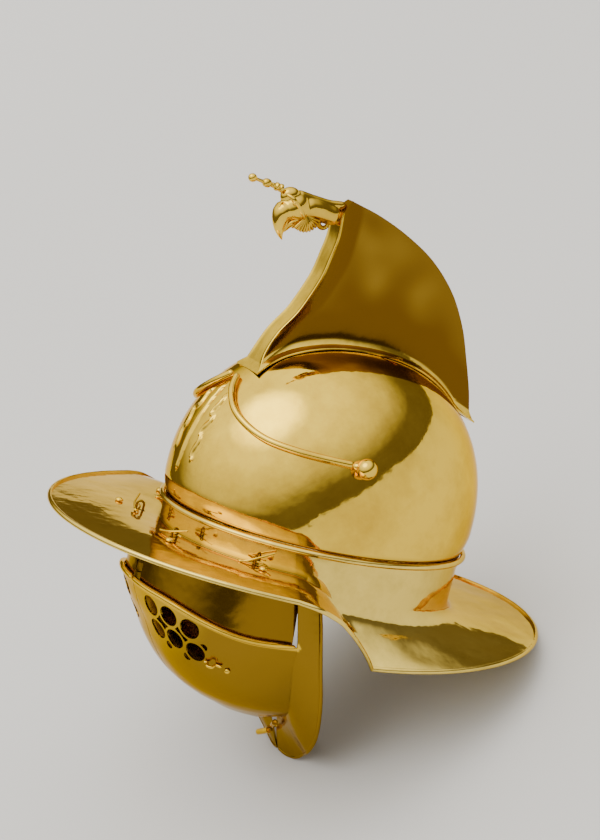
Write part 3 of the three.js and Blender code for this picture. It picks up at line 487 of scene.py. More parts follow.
def brim_section(turn):
    """The brim cut through: down the wall, out to the rolled edge and back underneath."""
    cut = brim_cut(turn)
    root, rim, _ = cut
    outward = Vector((root.x, root.y, 0)).normalized()
    inside = outward * -SHEET
    wide = (rim - root).length
    fold = blend(1.6, 9, ease(abs(turn), 1.3, 2.3))
    section = [Vector((root.x, root.y, blend(WALL_TOP, root.z + fold, i / 5))) for i in range(5)]
    low, high = root + Vector((0, 0, fold)), brim_point(cut, fold / wide)
    crease = 0.45 * (1 - ease(abs(turn), 1.3, 2.0))
    for i in range(7):
        t = i / 6
        bend = low * (1 - t) ** 2 + root * 2 * t * (1 - t) + high * t * t
        section.append(bend - outward * crease * sin(pi * t))
    guard = ease(abs(turn), 1.6, 2.2)
    for i in range(1, 16):
        point = brim_point(cut, blend(fold / wide, 1 - 2.6 / wide, i / 15))
        point.z += sin(pi * i / 16) * unevenness(point, blend(34, 24, guard), blend(0.3, 0.9, guard))
        section.append(point)
    out = (rim - section[-1]).normalized()
    up = (Vector((0, 0, 1)) - out * out.z).normalized()
    centre = rim - out * RIM_ROLL
    for i in range(11):
        turn_angle = blend(2.1, -2.5, i / 10)
        section.append(centre + out * RIM_ROLL * cos(turn_angle) + up * RIM_ROLL * sin(turn_angle))
    for i in range(9):
        point = brim_point(cut, blend(1 - 4.5 / wide, 0.04, i / 8))
        section.append(point - Vector((0, 0, SHEET)))
    section.append(root + inside - Vector((0, 0, SHEET)))
    section.append(root + inside + Vector((0, 0, fold)))
    section.append(Vector((root.x, root.y, WALL_TOP)) + inside)
    section.append(section[0])
    return section


BRIM_AROUND = 300
brim_sections = [brim_section(blend(-3, 3, i / BRIM_AROUND)) for i in range(BRIM_AROUND + 1)]
BRIM_SECTION = len(brim_sections[0]) - 1


def brim_place(u, v):
    return brim_sections[round(u * BRIM_AROUND)][round(v * BRIM_SECTION)]


# Darker along the brim's root in front and just under the bead.
def brim_darkening(point):
    angle = atan2(point.x, -point.y)
    root = ellipse_point(angle, WALL_LONG, WALL_WIDE, 0)
    off_wall = abs(hypot(point.x, point.y) - hypot(root.x, root.y))
    fold = (1 - ease(off_wall, 0, 2.5)) * (1 - ease(abs(point.z - ROOT_FRONT), 0.5, 3.5))
    under_bead = 1 - ease(abs(point.z + 2), 0.3, 2)
    return max(0.9 * fold if abs(angle) < 1.1 else 0, 0.5 * under_bead)


brim_form = grid_form(BRIM_AROUND, BRIM_SECTION, brim_place)


# The bead: a half-round moulding of cast brass that hides the joint of dome and wall.
BEAD = 2.2
BEAD_GAP = 0.35


def bead_place(u, v):
    out = BEAD + BEAD_GAP
    centre = ellipse_point(2 * pi * u, WALL_LONG + out, WALL_WIDE + out, BEAD_HEIGHT)
    away = Vector((centre.x, centre.y, 0)).normalized()
    return centre + away * BEAD * cos(2 * pi * v) + Vector((0, 0, BEAD * sin(2 * pi * v)))


bead = make_piece(grid_form(200, 14, bead_place), "bead_moulding", rim_brass)
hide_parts("base_bead")


# The crest: a tall hollow box of sheet, with a flat front strip, hollowed sides that meet at a
# thin rear edge, and a flared foot that is fitted and soldered to the dome.
CREST_HEIGHT, STRIP_HALF, REAR_HALF, FLARE, FRONT_FADE = 105.5, 9.3, 2.3, 5.5, 26
FOOT_LIP, FOOT_LIFT, SPUR_SHARE, CREST_WALL = 3, 0.4, 0.735, 1.2
CREST_TOP = SHOULDER + RISE + CREST_HEIGHT
CREST_FRONT = [  # shares of the dome's half length back and of the crest's height up
    (-0.678, 0.46), (-0.645, 0.518), (-0.592, 0.578), (-0.502, 0.644), (-0.449, 0.7),
    (-0.4, 0.766), (-0.376, 0.828), (-0.359, 0.886), (-0.367, 0.957),
]
CREST_REAR = [  # in the same shares
    (0.873, 0.404), (0.837, 0.484), (0.751, 0.596), (0.673, 0.683), (0.539, 0.783),
    (0.347, 0.87), (0.131, 0.93), (-0.09, 0.973), (-0.302, 1),
]


class Curve:
    """A smooth curve through points: along() by rows, at() by its length."""

    FINE = 24

    def __init__(self, points):
        rows = [np.array(point, float) for point in points]
        rows = [2 * rows[0] - rows[1], *rows, 2 * rows[-1] - rows[-2]]
        line = []
        for before, start, end, after in zip(rows, rows[1:], rows[2:], rows[3:]):
            gaps = [max(1e-6, np.linalg.norm(q - p)) ** 0.5 for p, q in
                    ((before, start), (start, end), (end, after))]
            lead = ((start - before) / gaps[0] - (end - before) / (gaps[0] + gaps[1])) * gaps[1]
            lead += end - start
            tail = ((after - end) / gaps[2] - (after - start) / (gaps[1] + gaps[2])) * gaps[1]
            tail += end - start
            for step in range(self.FINE):
                line.append(hermite(step / self.FINE, start, end, lead, tail))
        line.append(rows[-2])
        self.line = np.array(line)
        lengths = np.linalg.norm(np.diff(self.line, axis=0), axis=1)
        self.run = np.concatenate([[0], np.cumsum(lengths)])
        self.length = self.run[-1]

    def pick(self, places, place):
        return Vector([np.interp(place, places, self.line[:, i]) for i in range(3)])

    def along(self, share):
        return self.pick(np.linspace(0, 1, len(self.line)), clamp(share))

    def at(self, share):
        return self.pick(self.run, clamp(share) * self.length)


crest_front, crest_rear = (
    Curve([(0, back * HALF_LONG, up * CREST_TOP) for back, up in rows])
    for rows in (CREST_FRONT, CREST_REAR)
)
SPUR_START = SPUR_SHARE * HALF_LONG


def crest_foot_height(y):
    end = crest_rear.at(0)
    start = dome_top(0, min(y, SPUR_START)) + FOOT_LIFT
    if y <= SPUR_START:
        return start
    return blend(start, end.z, (y - SPUR_START) / (end.y - SPUR_START))


def crest_half(u, v, length):
    """Half the crest's width: wide at the front strip, hollow behind it, flared at the foot."""
    fade = max(0.0, 1 - u * length / FRONT_FADE)
    plain = REAR_HALF + (STRIP_HALF - REAR_HALF) * fade * fade
    flare = FLARE * (1 - 0.35 * u) * exp(-v * 18)
    return plain + flare + 4 * sin(pi * u) * exp(-v * 9)


CREST_SIDE, CREST_LEVELS = 56, 84
LIP_PROFILE = [  # the strip's lipped edge: millimetres in from the corner, and forwards
    (0.02, 0.05), (0.25, 0.42), (0.7, 0.58), (1.2, 0.4), (1.7, 0.05), (2.3, -0.1),
]


def crest_ring(v, inset, lip=0.0, rise=None):
    """Points round the crest at one level, from the front strip back and round again."""
    front, rear = crest_front.at(v), crest_rear.at(v)
    front_foot, rear_foot = crest_front.at(0), crest_rear.at(0)
    length = (rear - front).length
    ring = []
    for i in range(CREST_SIDE + 1):
        t = i / CREST_SIDE
        u = blend(inset / length, 1 - inset / length, t)
        point = front.lerp(rear, u)
        foot = front_foot.lerp(rear_foot, u)
        point.z += (crest_foot_height(foot.y) - foot.z) * (1 - v) ** 2.5
        point.y += (2 * t - 1) ** 5 * lip
        point.x = crest_half(u, v, length) - inset + lip
        point.x += unevenness((point.y, point.z, 40), 26, 0.35) * sin(pi * t) * min(1, v * 12)
        if rise is not None:
            on_dome = dome_top(point.x, point.y) + FOOT_LIFT
            point.z = max(on_dome, crest_foot_height(point.y) - 0.6) + rise
        ring.append(point)
    forward = (front - rear).normalized()
    corner = ring[0]
    strip = [
        corner - Vector((inwards, 0, 0)) + forward * lift * min(1, v * 12)
        for inwards, lift in LIP_PROFILE
    ]
    strip += [Vector((strip[-1].x * (1 - i / 5), strip[-1].y, strip[-1].z)) for i in range(1, 5)]
    middle = Vector((0, strip[-1].y, strip[-1].z))
    half_ring = [middle, *reversed(strip), *ring]
    other = [Vector((-point.x, point.y, point.z)) for point in reversed(half_ring)]
    return [*half_ring, *other]


FOOT_PROFILE = [  # the flared foot: how far its lip stands out, and how high
    (FOOT_LIP, 0), (FOOT_LIP + 0.2, 0.7), (FOOT_LIP - 0.2, 1.4), (FOOT_LIP * 0.45, 1.9),
]
crest_rings = [crest_ring(0, CREST_WALL, 0, 0)]
crest_rings += [crest_ring(0, 0, lip, rise) for lip, rise in FOOT_PROFILE]
crest_rings += [
    crest_ring(blend(0.028, 1, (i / CREST_LEVELS) ** 1.15), 0) for i in range(CREST_LEVELS + 1)
]


def crest_painted_reflection(point):
    """Painted dark reflection: the broad sides are painted deep amber for the dark surroundings they
    mirror; the strip, the foot and the rear edge keep the clean gold.
    """
    above_foot = point.z - crest_foot_height(point.y)
    side = ease(above_foot, 5, 6.4)
    strip = ease(crest_strip_away(point), 0.6, 2.4)
    rear = ease(abs(point.x) - REAR_HALF, -0.6, 0.3)
    return 0.95 * side * strip * blend(0.7, 1, rear)


strip_line = np.array([crest_front.at(i / 200) for i in range(201)])


def crest_strip_away(point):
    """How far a point lies behind the strip's own face."""
    return float(np.hypot(strip_line[:, 1] - point.y, strip_line[:, 2] - point.z).min())


crest_form = skin_form(crest_rings)
top_edges = [
    edge for edge in crest_form.edges
    if edge.is_boundary and min(vert.co.z for vert in edge.verts) > 0.9 * CREST_TOP
]
bmesh.ops.holes_fill(crest_form, edges=top_edges)
crest = make_piece(crest_form, "crest_sheet", crest_brass, crest_painted_reflection)
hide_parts("crest")


# The brow rolls: half-round moulding soldered on, from the crest's foot back to a ball at
# each temple.
BROW_ROWS = [  # angle from the front, in degrees, and height
    (2.5, 103), (9.5, 93.5), (19.5, 82.5), (30, 75), (39.5, 70.6), (52, 68.6), (64, 68), (74, 67.7),
]
BROW_RADIUS = 2.7
BALL_ANGLE, BALL_HEIGHT, BALL_RADIUS = 78, 67.7, 7.6


def close_ends(form):
    bmesh.ops.holes_fill(form, edges=[edge for edge in form.edges if edge.is_boundary])
    return form


TIP_STEPS = (0.02, 0.15, 0.4, 0.75, 1)


def rod_form(points, radius_at, around=16, along=60):
    """A bar with round ends through points; radius_at gives its radius by share of its length."""
    if len(points) > 2:
        line = Curve(points)
        length, centre_at = line.length, line.at
    else:
        foot, head = points
        length, centre_at = (head - foot).length, lambda place: foot.lerp(head, place)
    tip = max(radius_at(0), radius_at(1)) / length
    places = [tip * step for step in TIP_STEPS]
    places += [blend(tip, 1 - tip, (i + 1) / along) for i in range(along - 1)]
    places += [1 - tip * step for step in reversed(TIP_STEPS)]
    centres = [centre_at(place) for place in places]
    turns = [2 * pi * (j % around) / around for j in range(around + 1)]
    rings = []
    side = Vector((0.31, 0.17, 0.93))
    for i, place in enumerate(places):
        lead = (centres[min(i + 1, len(centres) - 1)] - centres[max(i - 1, 0)]).normalized()
        side = (side - lead * side.dot(lead)).normalized()
        up = lead.cross(side)
        from_end = min(1.0, min(place, 1 - place) / tip)
        radius = radius_at(place) * sqrt(max(0.0, 1 - (1 - from_end) ** 2))
        rings.append([
            centres[i] + side * radius * cos(turn) + up * radius * sin(turn) for turn in turns
        ])
    return close_ends(skin_form(rings))


def round_form(centre, radius, segments=40):
    form = bmesh.new()
    bmesh.ops.create_uvsphere(form, u_segments=segments, v_segments=segments // 2, radius=radius)
    bmesh.ops.translate(form, vec=centre, verts=form.verts)
    return form


SIDES = {"left": 1, "right": -1}


def add_sides(name, make_form, material, node, darkening_and_painted_shade=None):
    """The same piece on the wearer's left and, mirrored, on the right."""
    for side, sign in SIDES.items():
        form = make_form()
        if sign < 0:
            bmesh.ops.scale(form, vec=(-1, 1, 1), verts=form.verts)
            bmesh.ops.reverse_faces(form, faces=form.faces)
        piece = make_piece(form, f"{name}_{side}", material, darkening_and_painted_shade)
        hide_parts(f"{node}_{side}")


def brow_form():
    line = [dome_face(radians(angle), height, BROW_RADIUS - 0.5) for angle, height in BROW_ROWS]
    form = rod_form(line, lambda share: BROW_RADIUS, 20, 110)
    centre = dome_face(radians(BALL_ANGLE), BALL_HEIGHT, BALL_RADIUS - 0.4)
    add_form(form, round_form(centre, BALL_RADIUS))
    start = dome_face(radians(BALL_ANGLE - 5), BALL_HEIGHT, BROW_RADIUS + 0.6)
    collar = [start, start.lerp(centre, 0.5), centre]
    add_form(form, rod_form(collar, lambda share: 2.6 + 1.2 * share, 20, 12))
    return form


add_sides("brow_moulding", brow_form, dome_brass, "brow_roll")


# The griffin's head that ends the crest: cast in one piece, with a hooked beak, a ribbed ruff
# below the cheek and a small curl under its neck.
crest_end = crest_front.at(1)
RUFF_RIBS, RUFF_REACH = 10, 12.6


def ahead(x, out, up):
    """A place in front of the crest's end and above it."""
    return Vector((x, crest_end.y - out, crest_end.z + up))


def sizes(*values):
    """A radius that changes evenly from each value to the next along a bar."""
    return lambda share: float(np.interp(share, np.linspace(0, 1, len(values)), values))


def carrier(form):
    """A passing object that holds a form."""
    mesh = bpy.data.meshes.new("passing")
    form.to_mesh(mesh)
    form.free()
    holder = bpy.data.objects.new("passing", mesh)
    bpy.context.scene.collection.objects.link(holder)
    return holder


def drop(holder):
    mesh = holder.data
    bpy.data.objects.remove(holder)
    bpy.data.meshes.remove(mesh)


def shaped(form, *steps):
    """A form after some of Blender's modifiers, given as (kind, settings)."""
    holder = carrier(form)
    for kind, settings in steps:
        modifier = holder.modifiers.new(kind, kind)
        for key, value in settings.items():
            setattr(modifier, key, value)
    bpy.context.view_layer.update()
    done = bmesh.new()
    done.from_object(holder, bpy.context.evaluated_depsgraph_get())
    drop(holder)
    return done


def stretched_ball(centre, radius, stretch):
    form = round_form((0, 0, 0), radius)
    bmesh.ops.scale(form, vec=stretch, verts=form.verts)
    bmesh.ops.translate(form, vec=centre, verts=form.verts)
    return form


def griffin_form():
    body = rod_form(
        [ahead(0, -5, -3.5), ahead(0, 9, -2.6), ahead(0, 20, -1.4), ahead(0, 33, -2.5)],
        sizes(7, 7.4, 8.2, 9.2), 32, 40,
    )
    add_form(body, rod_form(
        [ahead(0, -6, 5.5), ahead(0, 8, 4.6), ahead(0, 22, 5.4), ahead(0, 37, 6.2)],
        sizes(3.4, 3.2, 3.6, 4.6), 24, 40,
    ))
    add_form(body, stretched_ball(ahead(0, 34, -2.5), 11, (0.9, 1, 1)))
    forehead = [ahead(0, 33, 4.6), ahead(0, 42, 4.8), ahead(0, 46, 0)]
    add_form(body, rod_form(forehead, sizes(6.6, 6, 4.6), 24, 20))
    beak = [(37, -2), (43, -8), (43.6, -16), (41, -23.5), (37.5, -28.4)]
    add_form(body, rod_form(
        [ahead(0, out, up) for out, up in beak], sizes(9.2, 8, 5.4, 2.8, 0.8), 32, 50
    ))
    jaw = [ahead(0, 33, -8), ahead(0, 37, -15), ahead(0, 38.5, -22)]
    add_form(body, rod_form(jaw, sizes(6, 4.4, 1.2), 24, 20))
    add_form(body, stretched_ball(ahead(0, 24, -9.5), 9.2, (0.62, 0.85, 1)))
    body = shaped(
        body,
        ("REMESH", {"mode": "VOXEL", "voxel_size": 0.55}),
        ("SMOOTH", {"factor": 0.6, "iterations": 14}),
    )
    for side in (-1, 1):
        add_form(body, round_form(ahead(side * 8.1, 39.5, 0.6), 1.6, 20))
        brow_line = [
            ahead(side * 4.4, 45.6, 5.6), ahead(side * 7.7, 41.5, 3.8), ahead(side * 8.9, 36.5, -0.4),
            ahead(side * 8.6, 31.5, -5.6), ahead(side * 6.6, 28, -9.5),
        ]
        add_form(body, rod_form(brow_line, sizes(1, 1.7, 1.3, 1.5, 0.7), 14, 40))
        mouth = [ahead(side * 6.9, 33, -10), ahead(side * 6, 38, -13.5), ahead(side * 3.6, 40.6, -20.5)]
        add_form(body, rod_form(mouth, sizes(0.7, 1, 0.5), 10, 24))
        for rib in range(RUFF_RIBS):
            turn = radians(blend(238, 348, rib / (RUFF_RIBS - 1)))
            start = ahead(side * 5.9, 27.5, -6)
            end = start + Vector((side * 0.2, RUFF_REACH * cos(turn), RUFF_REACH * sin(turn)))
            belly = start.lerp(end, 0.55) + Vector((side * 1.2, 0, 0))
            add_form(body, rod_form([start, belly, end], sizes(0.6, 1, 1.15), 12, 16))
    curl = []
    for step in range(16):
        share = step / 15
        turn, reach = radians(110 + 450 * share), blend(5.6, 0.9, share)
        curl.append(ahead(0, 8.5 - reach * cos(turn), -9.2 + reach * sin(turn)))
    add_form(body, rod_form(curl, sizes(2.6, 2, 1.5, 1.2), 16, 60))
    return body


def griffin_darkening(point):
    """The cast head is darker under its throat and in its ruff."""
    out, up = crest_end.y - point.y, point.z - crest_end.z
    throat = (1 - ease(abs(out - 15), 4, 12)) * (1 - ease(up, -9, -2))
    ruff = 0.5 * (1 - ease(hypot(out - 24, up + 12), 6, 12))
    return max(throat, ruff)


griffin = make_piece(griffin_form(), "griffin_casting", dome_brass, griffin_darkening)
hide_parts("griffin_head")


# The griffin's spike: a turned rod with a collar, two joints and a knob.
SPIKE_ROWS = [  # share of its length, and radius
    (0, 3.1), (0.07, 2.9), (0.1, 2.2), (0.14, 3), (0.2, 3), (0.24, 1.8), (0.3, 2), (0.36, 1.6),
    (0.4, 2.7), (0.5, 3.2), (0.57, 2.6), (0.61, 1.5), (0.72, 1.25), (0.82, 1.35), (0.88, 2.6),
    (0.95, 3.1), (1.02, 2.5), (1.06, 1.3), (1.075, 0.1),
]


def turned_form(foot, up, rows, around=40, fine=5):
    """A form turned round an axis, from rows of millimetres along it and radius."""
    profile = Curve([(0, radius, rise) for rise, radius in rows])
    side = up.cross(Vector((0.3, 0.8, 0.2))).normalized()
    count = fine * (len(rows) - 1)
    points = [profile.along(i / count) for i in range(count + 1)]

    def place(u, v):
        _, radius, rise = points[round(v * count)]
        return foot + up * rise + (Matrix.Rotation(2 * pi * u, 3, up) @ side) * max(0.02, radius)

    return close_ends(grid_form(around, count, place))


spike_root, spike_tip = ahead(0, 48.1, 8.6), ahead(0, 74, 12)
spike_length = (spike_tip - spike_root).length
spike_turned = turned_form(
    spike_root, (spike_tip - spike_root).normalized(),
    [(share * spike_length, radius) for share, radius in SPIKE_ROWS],
)
spike = make_piece(spike_turned, "griffin_spike_turned", dome_brass)
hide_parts("griffin_spike")


# The visor: two bowl-shaped halves that meet at the front, each one sheet with a punched
# grille, a rolled rib along the top and a flared band behind.
HANG, VISOR_REACH, VISOR_HALF, VISOR_DEPTH = 41.5, 136, 88, 96
SEAM, ROUNDNESS, RIB_RADIUS, RIB_LIFT, BORDER_RADIUS = 0.5, 2.3, 2.2, 0.4, 1.5
GRILLE_PITCH, GRILLE_IN, GRILLE_DOWN, HOLE_RADIUS, RING_BAR = 20, 19, 12.5, 8.2, 1.8
PUNCH_DEPTH = 4
VISOR_TOP = FRONT_HEIGHT - HANG
KEEL = [  # the seam in front: shares of the reach forwards and of the depth down
    (1, 0), (0.934, 0.172), (0.864, 0.318), (0.801, 0.464), (0.732, 0.589), (0.647, 0.703),
    (0.533, 0.797), (0.426, 0.859), (0.324, 0.918), (0.213, 0.964), (0.11, 1),
]
FOLD = [  # where the band meets the bowl: shares of half width out and back, and of depth down
    (1, -0.568, -0.339), (1, -0.5, -0.099), (1, -0.438, 0.13), (0.983, -0.42, 0.297),
    (0.938, -0.364, 0.464), (0.875, -0.307, 0.589), (0.784, -0.239, 0.693),
    (0.636, -0.159, 0.781), (0.455, -0.08, 0.854), (0.295, -0.011, 0.901),
    (0.159, 0.045, 0.938), (0.102, 0.068, 0.953),
]
EDGE = [  # the band's free edge, in the same shares
    (1.074, -0.352, -0.193), (1.08, -0.307, -0.047), (1.08, -0.261, 0.109),
    (1.068, -0.199, 0.297), (1.04, -0.125, 0.484), (0.989, -0.057, 0.661),
    (0.875, 0.028, 0.875), (0.67, 0.114, 1.057), (0.466, 0.199, 1.156),
    (0.273, 0.239, 1.255), (0.114, 0.227, 1.286), (0.014, 0.211, 1.276),
]


def at_visor(row):
    out, back, drop = row
    return (out * VISOR_HALF, back * VISOR_HALF, VISOR_TOP - drop * VISOR_DEPTH)


keel = Curve([(0, -out * VISOR_REACH, VISOR_TOP - drop * VISOR_DEPTH) for out, drop in KEEL])
band_fold = Curve([at_visor(row) for row in FOLD])
band_edge = Curve([at_visor(row) for row in EDGE])
bowl_side = Curve([at_visor(row) for row in FOLD[2:-1]])


def bowl_point(u, v):
    """The bowl's face: u from the front seam to the band's fold, v from the rib to the chin."""
    front, side = keel.at(v), bowl_side.at(v)
    turn = u * pi / 2
    out = sin(turn) ** (2 / ROUNDNESS) if u > 0 else 0.0
    back = 1 - max(0.0, cos(turn)) ** (2 / ROUNDNESS)
    drop = blend(ease(u, 0.2, 0.85), back, min(1, v * 2))
    return Vector((
        blend(SEAM, side.x, out), blend(front.y, side.y, back), blend(front.z, side.z, drop)
    ))


def bowl_normal(u, v):
    small = 0.01
    across = bowl_point(min(1, u + small), v) - bowl_point(max(0, u - small), v)
    down = bowl_point(u, min(1, v + small)) - bowl_point(u, max(0, v - small))
    return down.cross(across).normalized()


def bowl_place(along, down):
    """Millimetres along the bowl from the seam and down from the rib, as u and v."""
    u, v, stride = 0.02, 0.001, 0.003
    while along > 0 and u < 0.92:
        along -= (bowl_point(u + stride, v) - bowl_point(u, v)).length
        u += stride
    while down > 0 and v < 0.9:
        down -= (bowl_point(u, v + stride) - bowl_point(u, v)).length
        v += stride
    return u, v


def bowl_frame(along, down):
    """A spot on the bowl, with its directions along and down the sheet and its normal."""
    u, v = bowl_place(along, down)
    normal = bowl_normal(u, v)
    across = Vector((0, 0, 1)).cross(normal).normalized()
    fall = across.cross(normal).normalized()
    return bowl_point(u, v), across, -fall if fall.z > 0 else fall, normal


def punch_form(along, down, outline):
    """A punch square to the bowl, from an outline in millimetres round a centre."""
    centre, across, fall, normal = bowl_frame(along, down)
    count = len(outline)

    def side(around, deep):
        a, b = outline[round(around * count) % count]
        return centre + across * a + fall * b + normal * PUNCH_DEPTH * (1 - 2 * deep)

    form = close_ends(grid_form(count, 1, side))
    face_outwards(form)
    return form


def round_outline(radius, count=40):
    turns = [2 * pi * i / count for i in range(count)]
    return [(radius * cos(turn), radius * sin(turn)) for turn in turns]


STAR_POINTS, STAR_REACH, STAR_LEAST = 48, 1.6, 0.5
ALL_ROUND = [(1, 1), (-1, 1), (-1, -1), (1, -1)]
STARS = [  # column and row in the grille, and which ways its rings lie
    (0.5, 0.5, ALL_ROUND), (1.5, 0.5, ALL_ROUND), (0.5, 1.5, ALL_ROUND[2:]),
    (1.5, 1.5, ALL_ROUND[2:]), (2.5, 0.5, ALL_ROUND[1:3]),
]


def star_outline(column, row, ways):
    """The star left between rings: as far as the rings' bars in each direction."""
    centre, across, fall, _ = bowl_frame(*grille_place(column, row))
    rings = [
        bowl_frame(*grille_place(column + right / 2, row + down / 2))[0] - centre
        for right, down in ways
    ]
    bar = HOLE_RADIUS + RING_BAR
    outline = []
    for i in range(STAR_POINTS):
        turn = 2 * pi * i / STAR_POINTS
        reach = STAR_REACH * len(ways)
        for ring in rings:
            a, b = ring.dot(across), ring.dot(fall)
            beyond, aside = a * cos(turn) + b * sin(turn), a * sin(turn) - b * cos(turn)
            if beyond > 0 and abs(aside) < bar:
                reach = min(reach, beyond - sqrt(bar**2 - aside**2))
        reach = max(reach, STAR_LEAST)
        outline.append((reach * cos(turn), reach * sin(turn)))
    return outline


def grille_place(column, row):
    return GRILLE_IN + GRILLE_PITCH * column, GRILLE_DOWN + GRILLE_PITCH * row


def sheet_form(across, along, place, thickness):
    """A sheet of the given thickness round a grid."""
    form = grid_form(across, along, place)
    bmesh.ops.recalc_face_normals(form, faces=form.faces)
    wall = {"thickness": thickness, "offset": 0, "use_even_offset": True}
    walled = shaped(form, ("SOLIDIFY", wall))
    face_outwards(walled)
    return walled


def cut_form(form, tools):
    """A form with holes where the tools pass through it."""
    tool = bmesh.new()
    for one in tools:
        add_form(tool, one)
    holder = carrier(tool)
    cut = {"operation": "DIFFERENCE", "solver": "EXACT", "object": holder}
    done = shaped(form, ("BOOLEAN", cut))
    drop(holder)
    return done


def bowl_place_uneven(u, v):
    point = bowl_point(u, v)
    return point + bowl_normal(u, max(v, 0.01)) * unevenness(point, 22, 0.35) * sin(pi * u)


def band_place(u, v):
    """The band, from its fold on the bowl (u 0) to its free edge, and from temple to chin."""
    fold, edge = band_fold.along(v), band_edge.along(v)
    inward = (fold - edge).normalized() * 0.9 * ease(v, 0.2, 0.34)
    start = fold + inward
    flare = fold.lerp(edge, 0.5) + Vector((-1.2, -0.8, 0))
    return start * (1 - u) * (1 - 2 * u) + flare * 4 * u * (1 - u) + edge * u * (2 * u - 1)


def rib_point(u):
    return bowl_point(u, 0) + Vector((0, 0, RIB_LIFT))


def visor_form():
    rings = [
        punch_form(*grille_place(column, row), round_outline(HOLE_RADIUS))
        for row in (0, 1) for column in (0, 1, 2)
    ]
    form = cut_form(sheet_form(120, 90, bowl_place_uneven, SHEET), rings)
    for column, row, ways in STARS:
        star = punch_form(*grille_place(column, row), star_outline(column, row, ways))
        form = cut_form(form, [star])
    form = shaped(form, ("BEVEL", {
        "width": 0.3, "segments": 2, "limit_method": "ANGLE", "angle_limit": radians(60),
        "use_clamp_overlap": True,
    }))
    add_form(form, sheet_form(12, 110, band_place, SHEET))
    border = [band_edge.along(i / 40) for i in range(41)]
    add_form(form, rod_form(border, lambda share: BORDER_RADIUS, 16, 160))
    rib = [rib_point(blend(0.004, 0.995, i / 40)) for i in range(41)]
    add_form(form, rod_form(rib, sizes(*[RIB_RADIUS] * 9, RIB_RADIUS * 0.7), 20, 180))
    return form


rib_line = np.array([rib_point(i / 150) for i in range(151)])


def visor_painted_shade(point):
    """Painted shade from the brim: the bowl is painted dark brown, a little less towards the grille in
    front, and the rib keeps the clean gold.
    """
    side_point = np.array((abs(point.x), point.y, point.z))
    from_rib = float(np.linalg.norm(rib_line - side_point, axis=1).min())
    off_rib = ease(from_rib, RIB_RADIUS + 0.1, RIB_RADIUS + 0.6)
    grille = 0.35 * (1 - ease(point.y, -125, -100))
    return off_rib * (0.8 - grille)


add_sides("visor_sheet", visor_form, visor_brass, "visor_half", visor_painted_shade)


# The upper plates: one behind the rib of each half, reaching up to the brim, with two wire
# loops that pass up through the brim's slots.
PLATE_INSET, PLATE_THICK, PLATE_LAP, PLATE_FORWARD, PLATE_BELOW = 3.5, 1.2, 0.055, 5, 1.3
LOOP_SPOTS = {"front": 0.2, "side": 0.72}
WIRE, LOOP_HALF, LOOP_RISE = 0.9, 2.6, 4


def brim_top(x, y):
    """The brim's top face above a point in plan."""
    cut = brim_cut(atan2(x, -y) / radians(STEP["rim_angle"][0]))
    start, end = hypot(cut[0].x, cut[0].y), hypot(cut[1].x, cut[1].y)
    return brim_point(cut, clamp((hypot(x, y) - start) / (end - start))).z


def plate_point(u, level):
    """From the brim (level -1) to the rib (0) and down behind the bowl (1)."""
    in_u, v = blend(0.025, 0.99, u), max(0, level) * PLATE_LAP
    base = bowl_point(in_u, v) - bowl_normal(in_u, max(v, 0.01)) * PLATE_INSET
    if level >= 0:
        return base
    top = brim_top(base.x, base.y) - SHEET - PLATE_BELOW
    y = base.y + PLATE_FORWARD * ease(u, 0.75, 1) * level
    return Vector((base.x, y, blend(base.z, top, -level)))


def loop_frame(u):
    foot = plate_point(u, -1)
    along = plate_point(u + 0.03, -1) - plate_point(u - 0.03, -1)
    along = Vector((along.x, along.y, 0)).normalized()
    return foot, along, Vector((along.y, -along.x, 0)), brim_top(foot.x, foot.y)


def loop_form(u):
    foot, _, out, top = loop_frame(u)

    def at(away, height):
        return Vector((foot.x + out.x * away, foot.y + out.y * away, height))

    low, crown = foot.z - 6, top + LOOP_RISE
    turns = [pi - pi * i / 12 for i in range(1, 12)]
    path = [at(-LOOP_HALF, low), at(-LOOP_HALF, low + 8), at(-LOOP_HALF, crown)]
    path += [at(LOOP_HALF * cos(turn), crown + LOOP_HALF * sin(turn)) for turn in turns]
    path += [at(LOOP_HALF, crown), at(LOOP_HALF, low + 8), at(LOOP_HALF, low)]
    form = rod_form(path, lambda share: WIRE, 14, 90)
    add_form(form, rod_form([path[0], path[-1]], lambda share: WIRE, 14, 12))
    return form


def plate_form():
    form = sheet_form(80, 24, lambda u, v: plate_point(u, 2 * v - 1), PLATE_THICK)
    for u in LOOP_SPOTS.values():
        add_form(form, loop_form(u))
    return form


# The plates are painted dark all over: painted shade, where they sit under the brim.
add_sides("plate_sheet", plate_form, visor_brass, "upper_plate", lambda point: 0.85)


# The slots in the brim, punched where the loops come through.
SLOT_HALF_WIDTH, SLOT_HALF_LENGTH, SLOT_DEPTH = 1.6, 4.4, 9


def slot_form(u, side):
    foot, along, out, top = loop_frame(u)
    form = bmesh.new()
    bmesh.ops.create_cube(form, size=2)
    for vert in form.verts:
        right, forward, rise = vert.co
        vert.co = Vector((foot.x, foot.y, top + rise * SLOT_DEPTH))
        vert.co += along * right * SLOT_HALF_WIDTH + out * forward * SLOT_HALF_LENGTH
        vert.co.x *= side
    face_outwards(form)
    return form


face_outwards(brim_form)
slots = [slot_form(u, side) for u in LOOP_SPOTS.values() for side in SIDES.values()]
brim = make_piece(cut_form(brim_form, slots), "brim_sheet", rim_brass, brim_darkening)
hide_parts("brim")


# The hairpins: one bent wire pin through each loop, that holds the visor up.
PIN_RADIUS = 0.75


def pin_form(u, head):
    foot, along, out, top = loop_frame(u)

    def at(away, side, rise):
        return Vector((foot.x, foot.y, top + rise)) + out * away + along * side

    return rod_form([
        at(0, 7, 2.4), at(0, 0, 2.6), at(1.6, -8, 1.9), at(3, -11.4, 1.6), at(4, -11.4, 1.8),
        at(4.4, -8, 2.4), at(4.6, 0, head / 2), at(1, 13, head),
    ], lambda share: PIN_RADIUS, 14, 90)


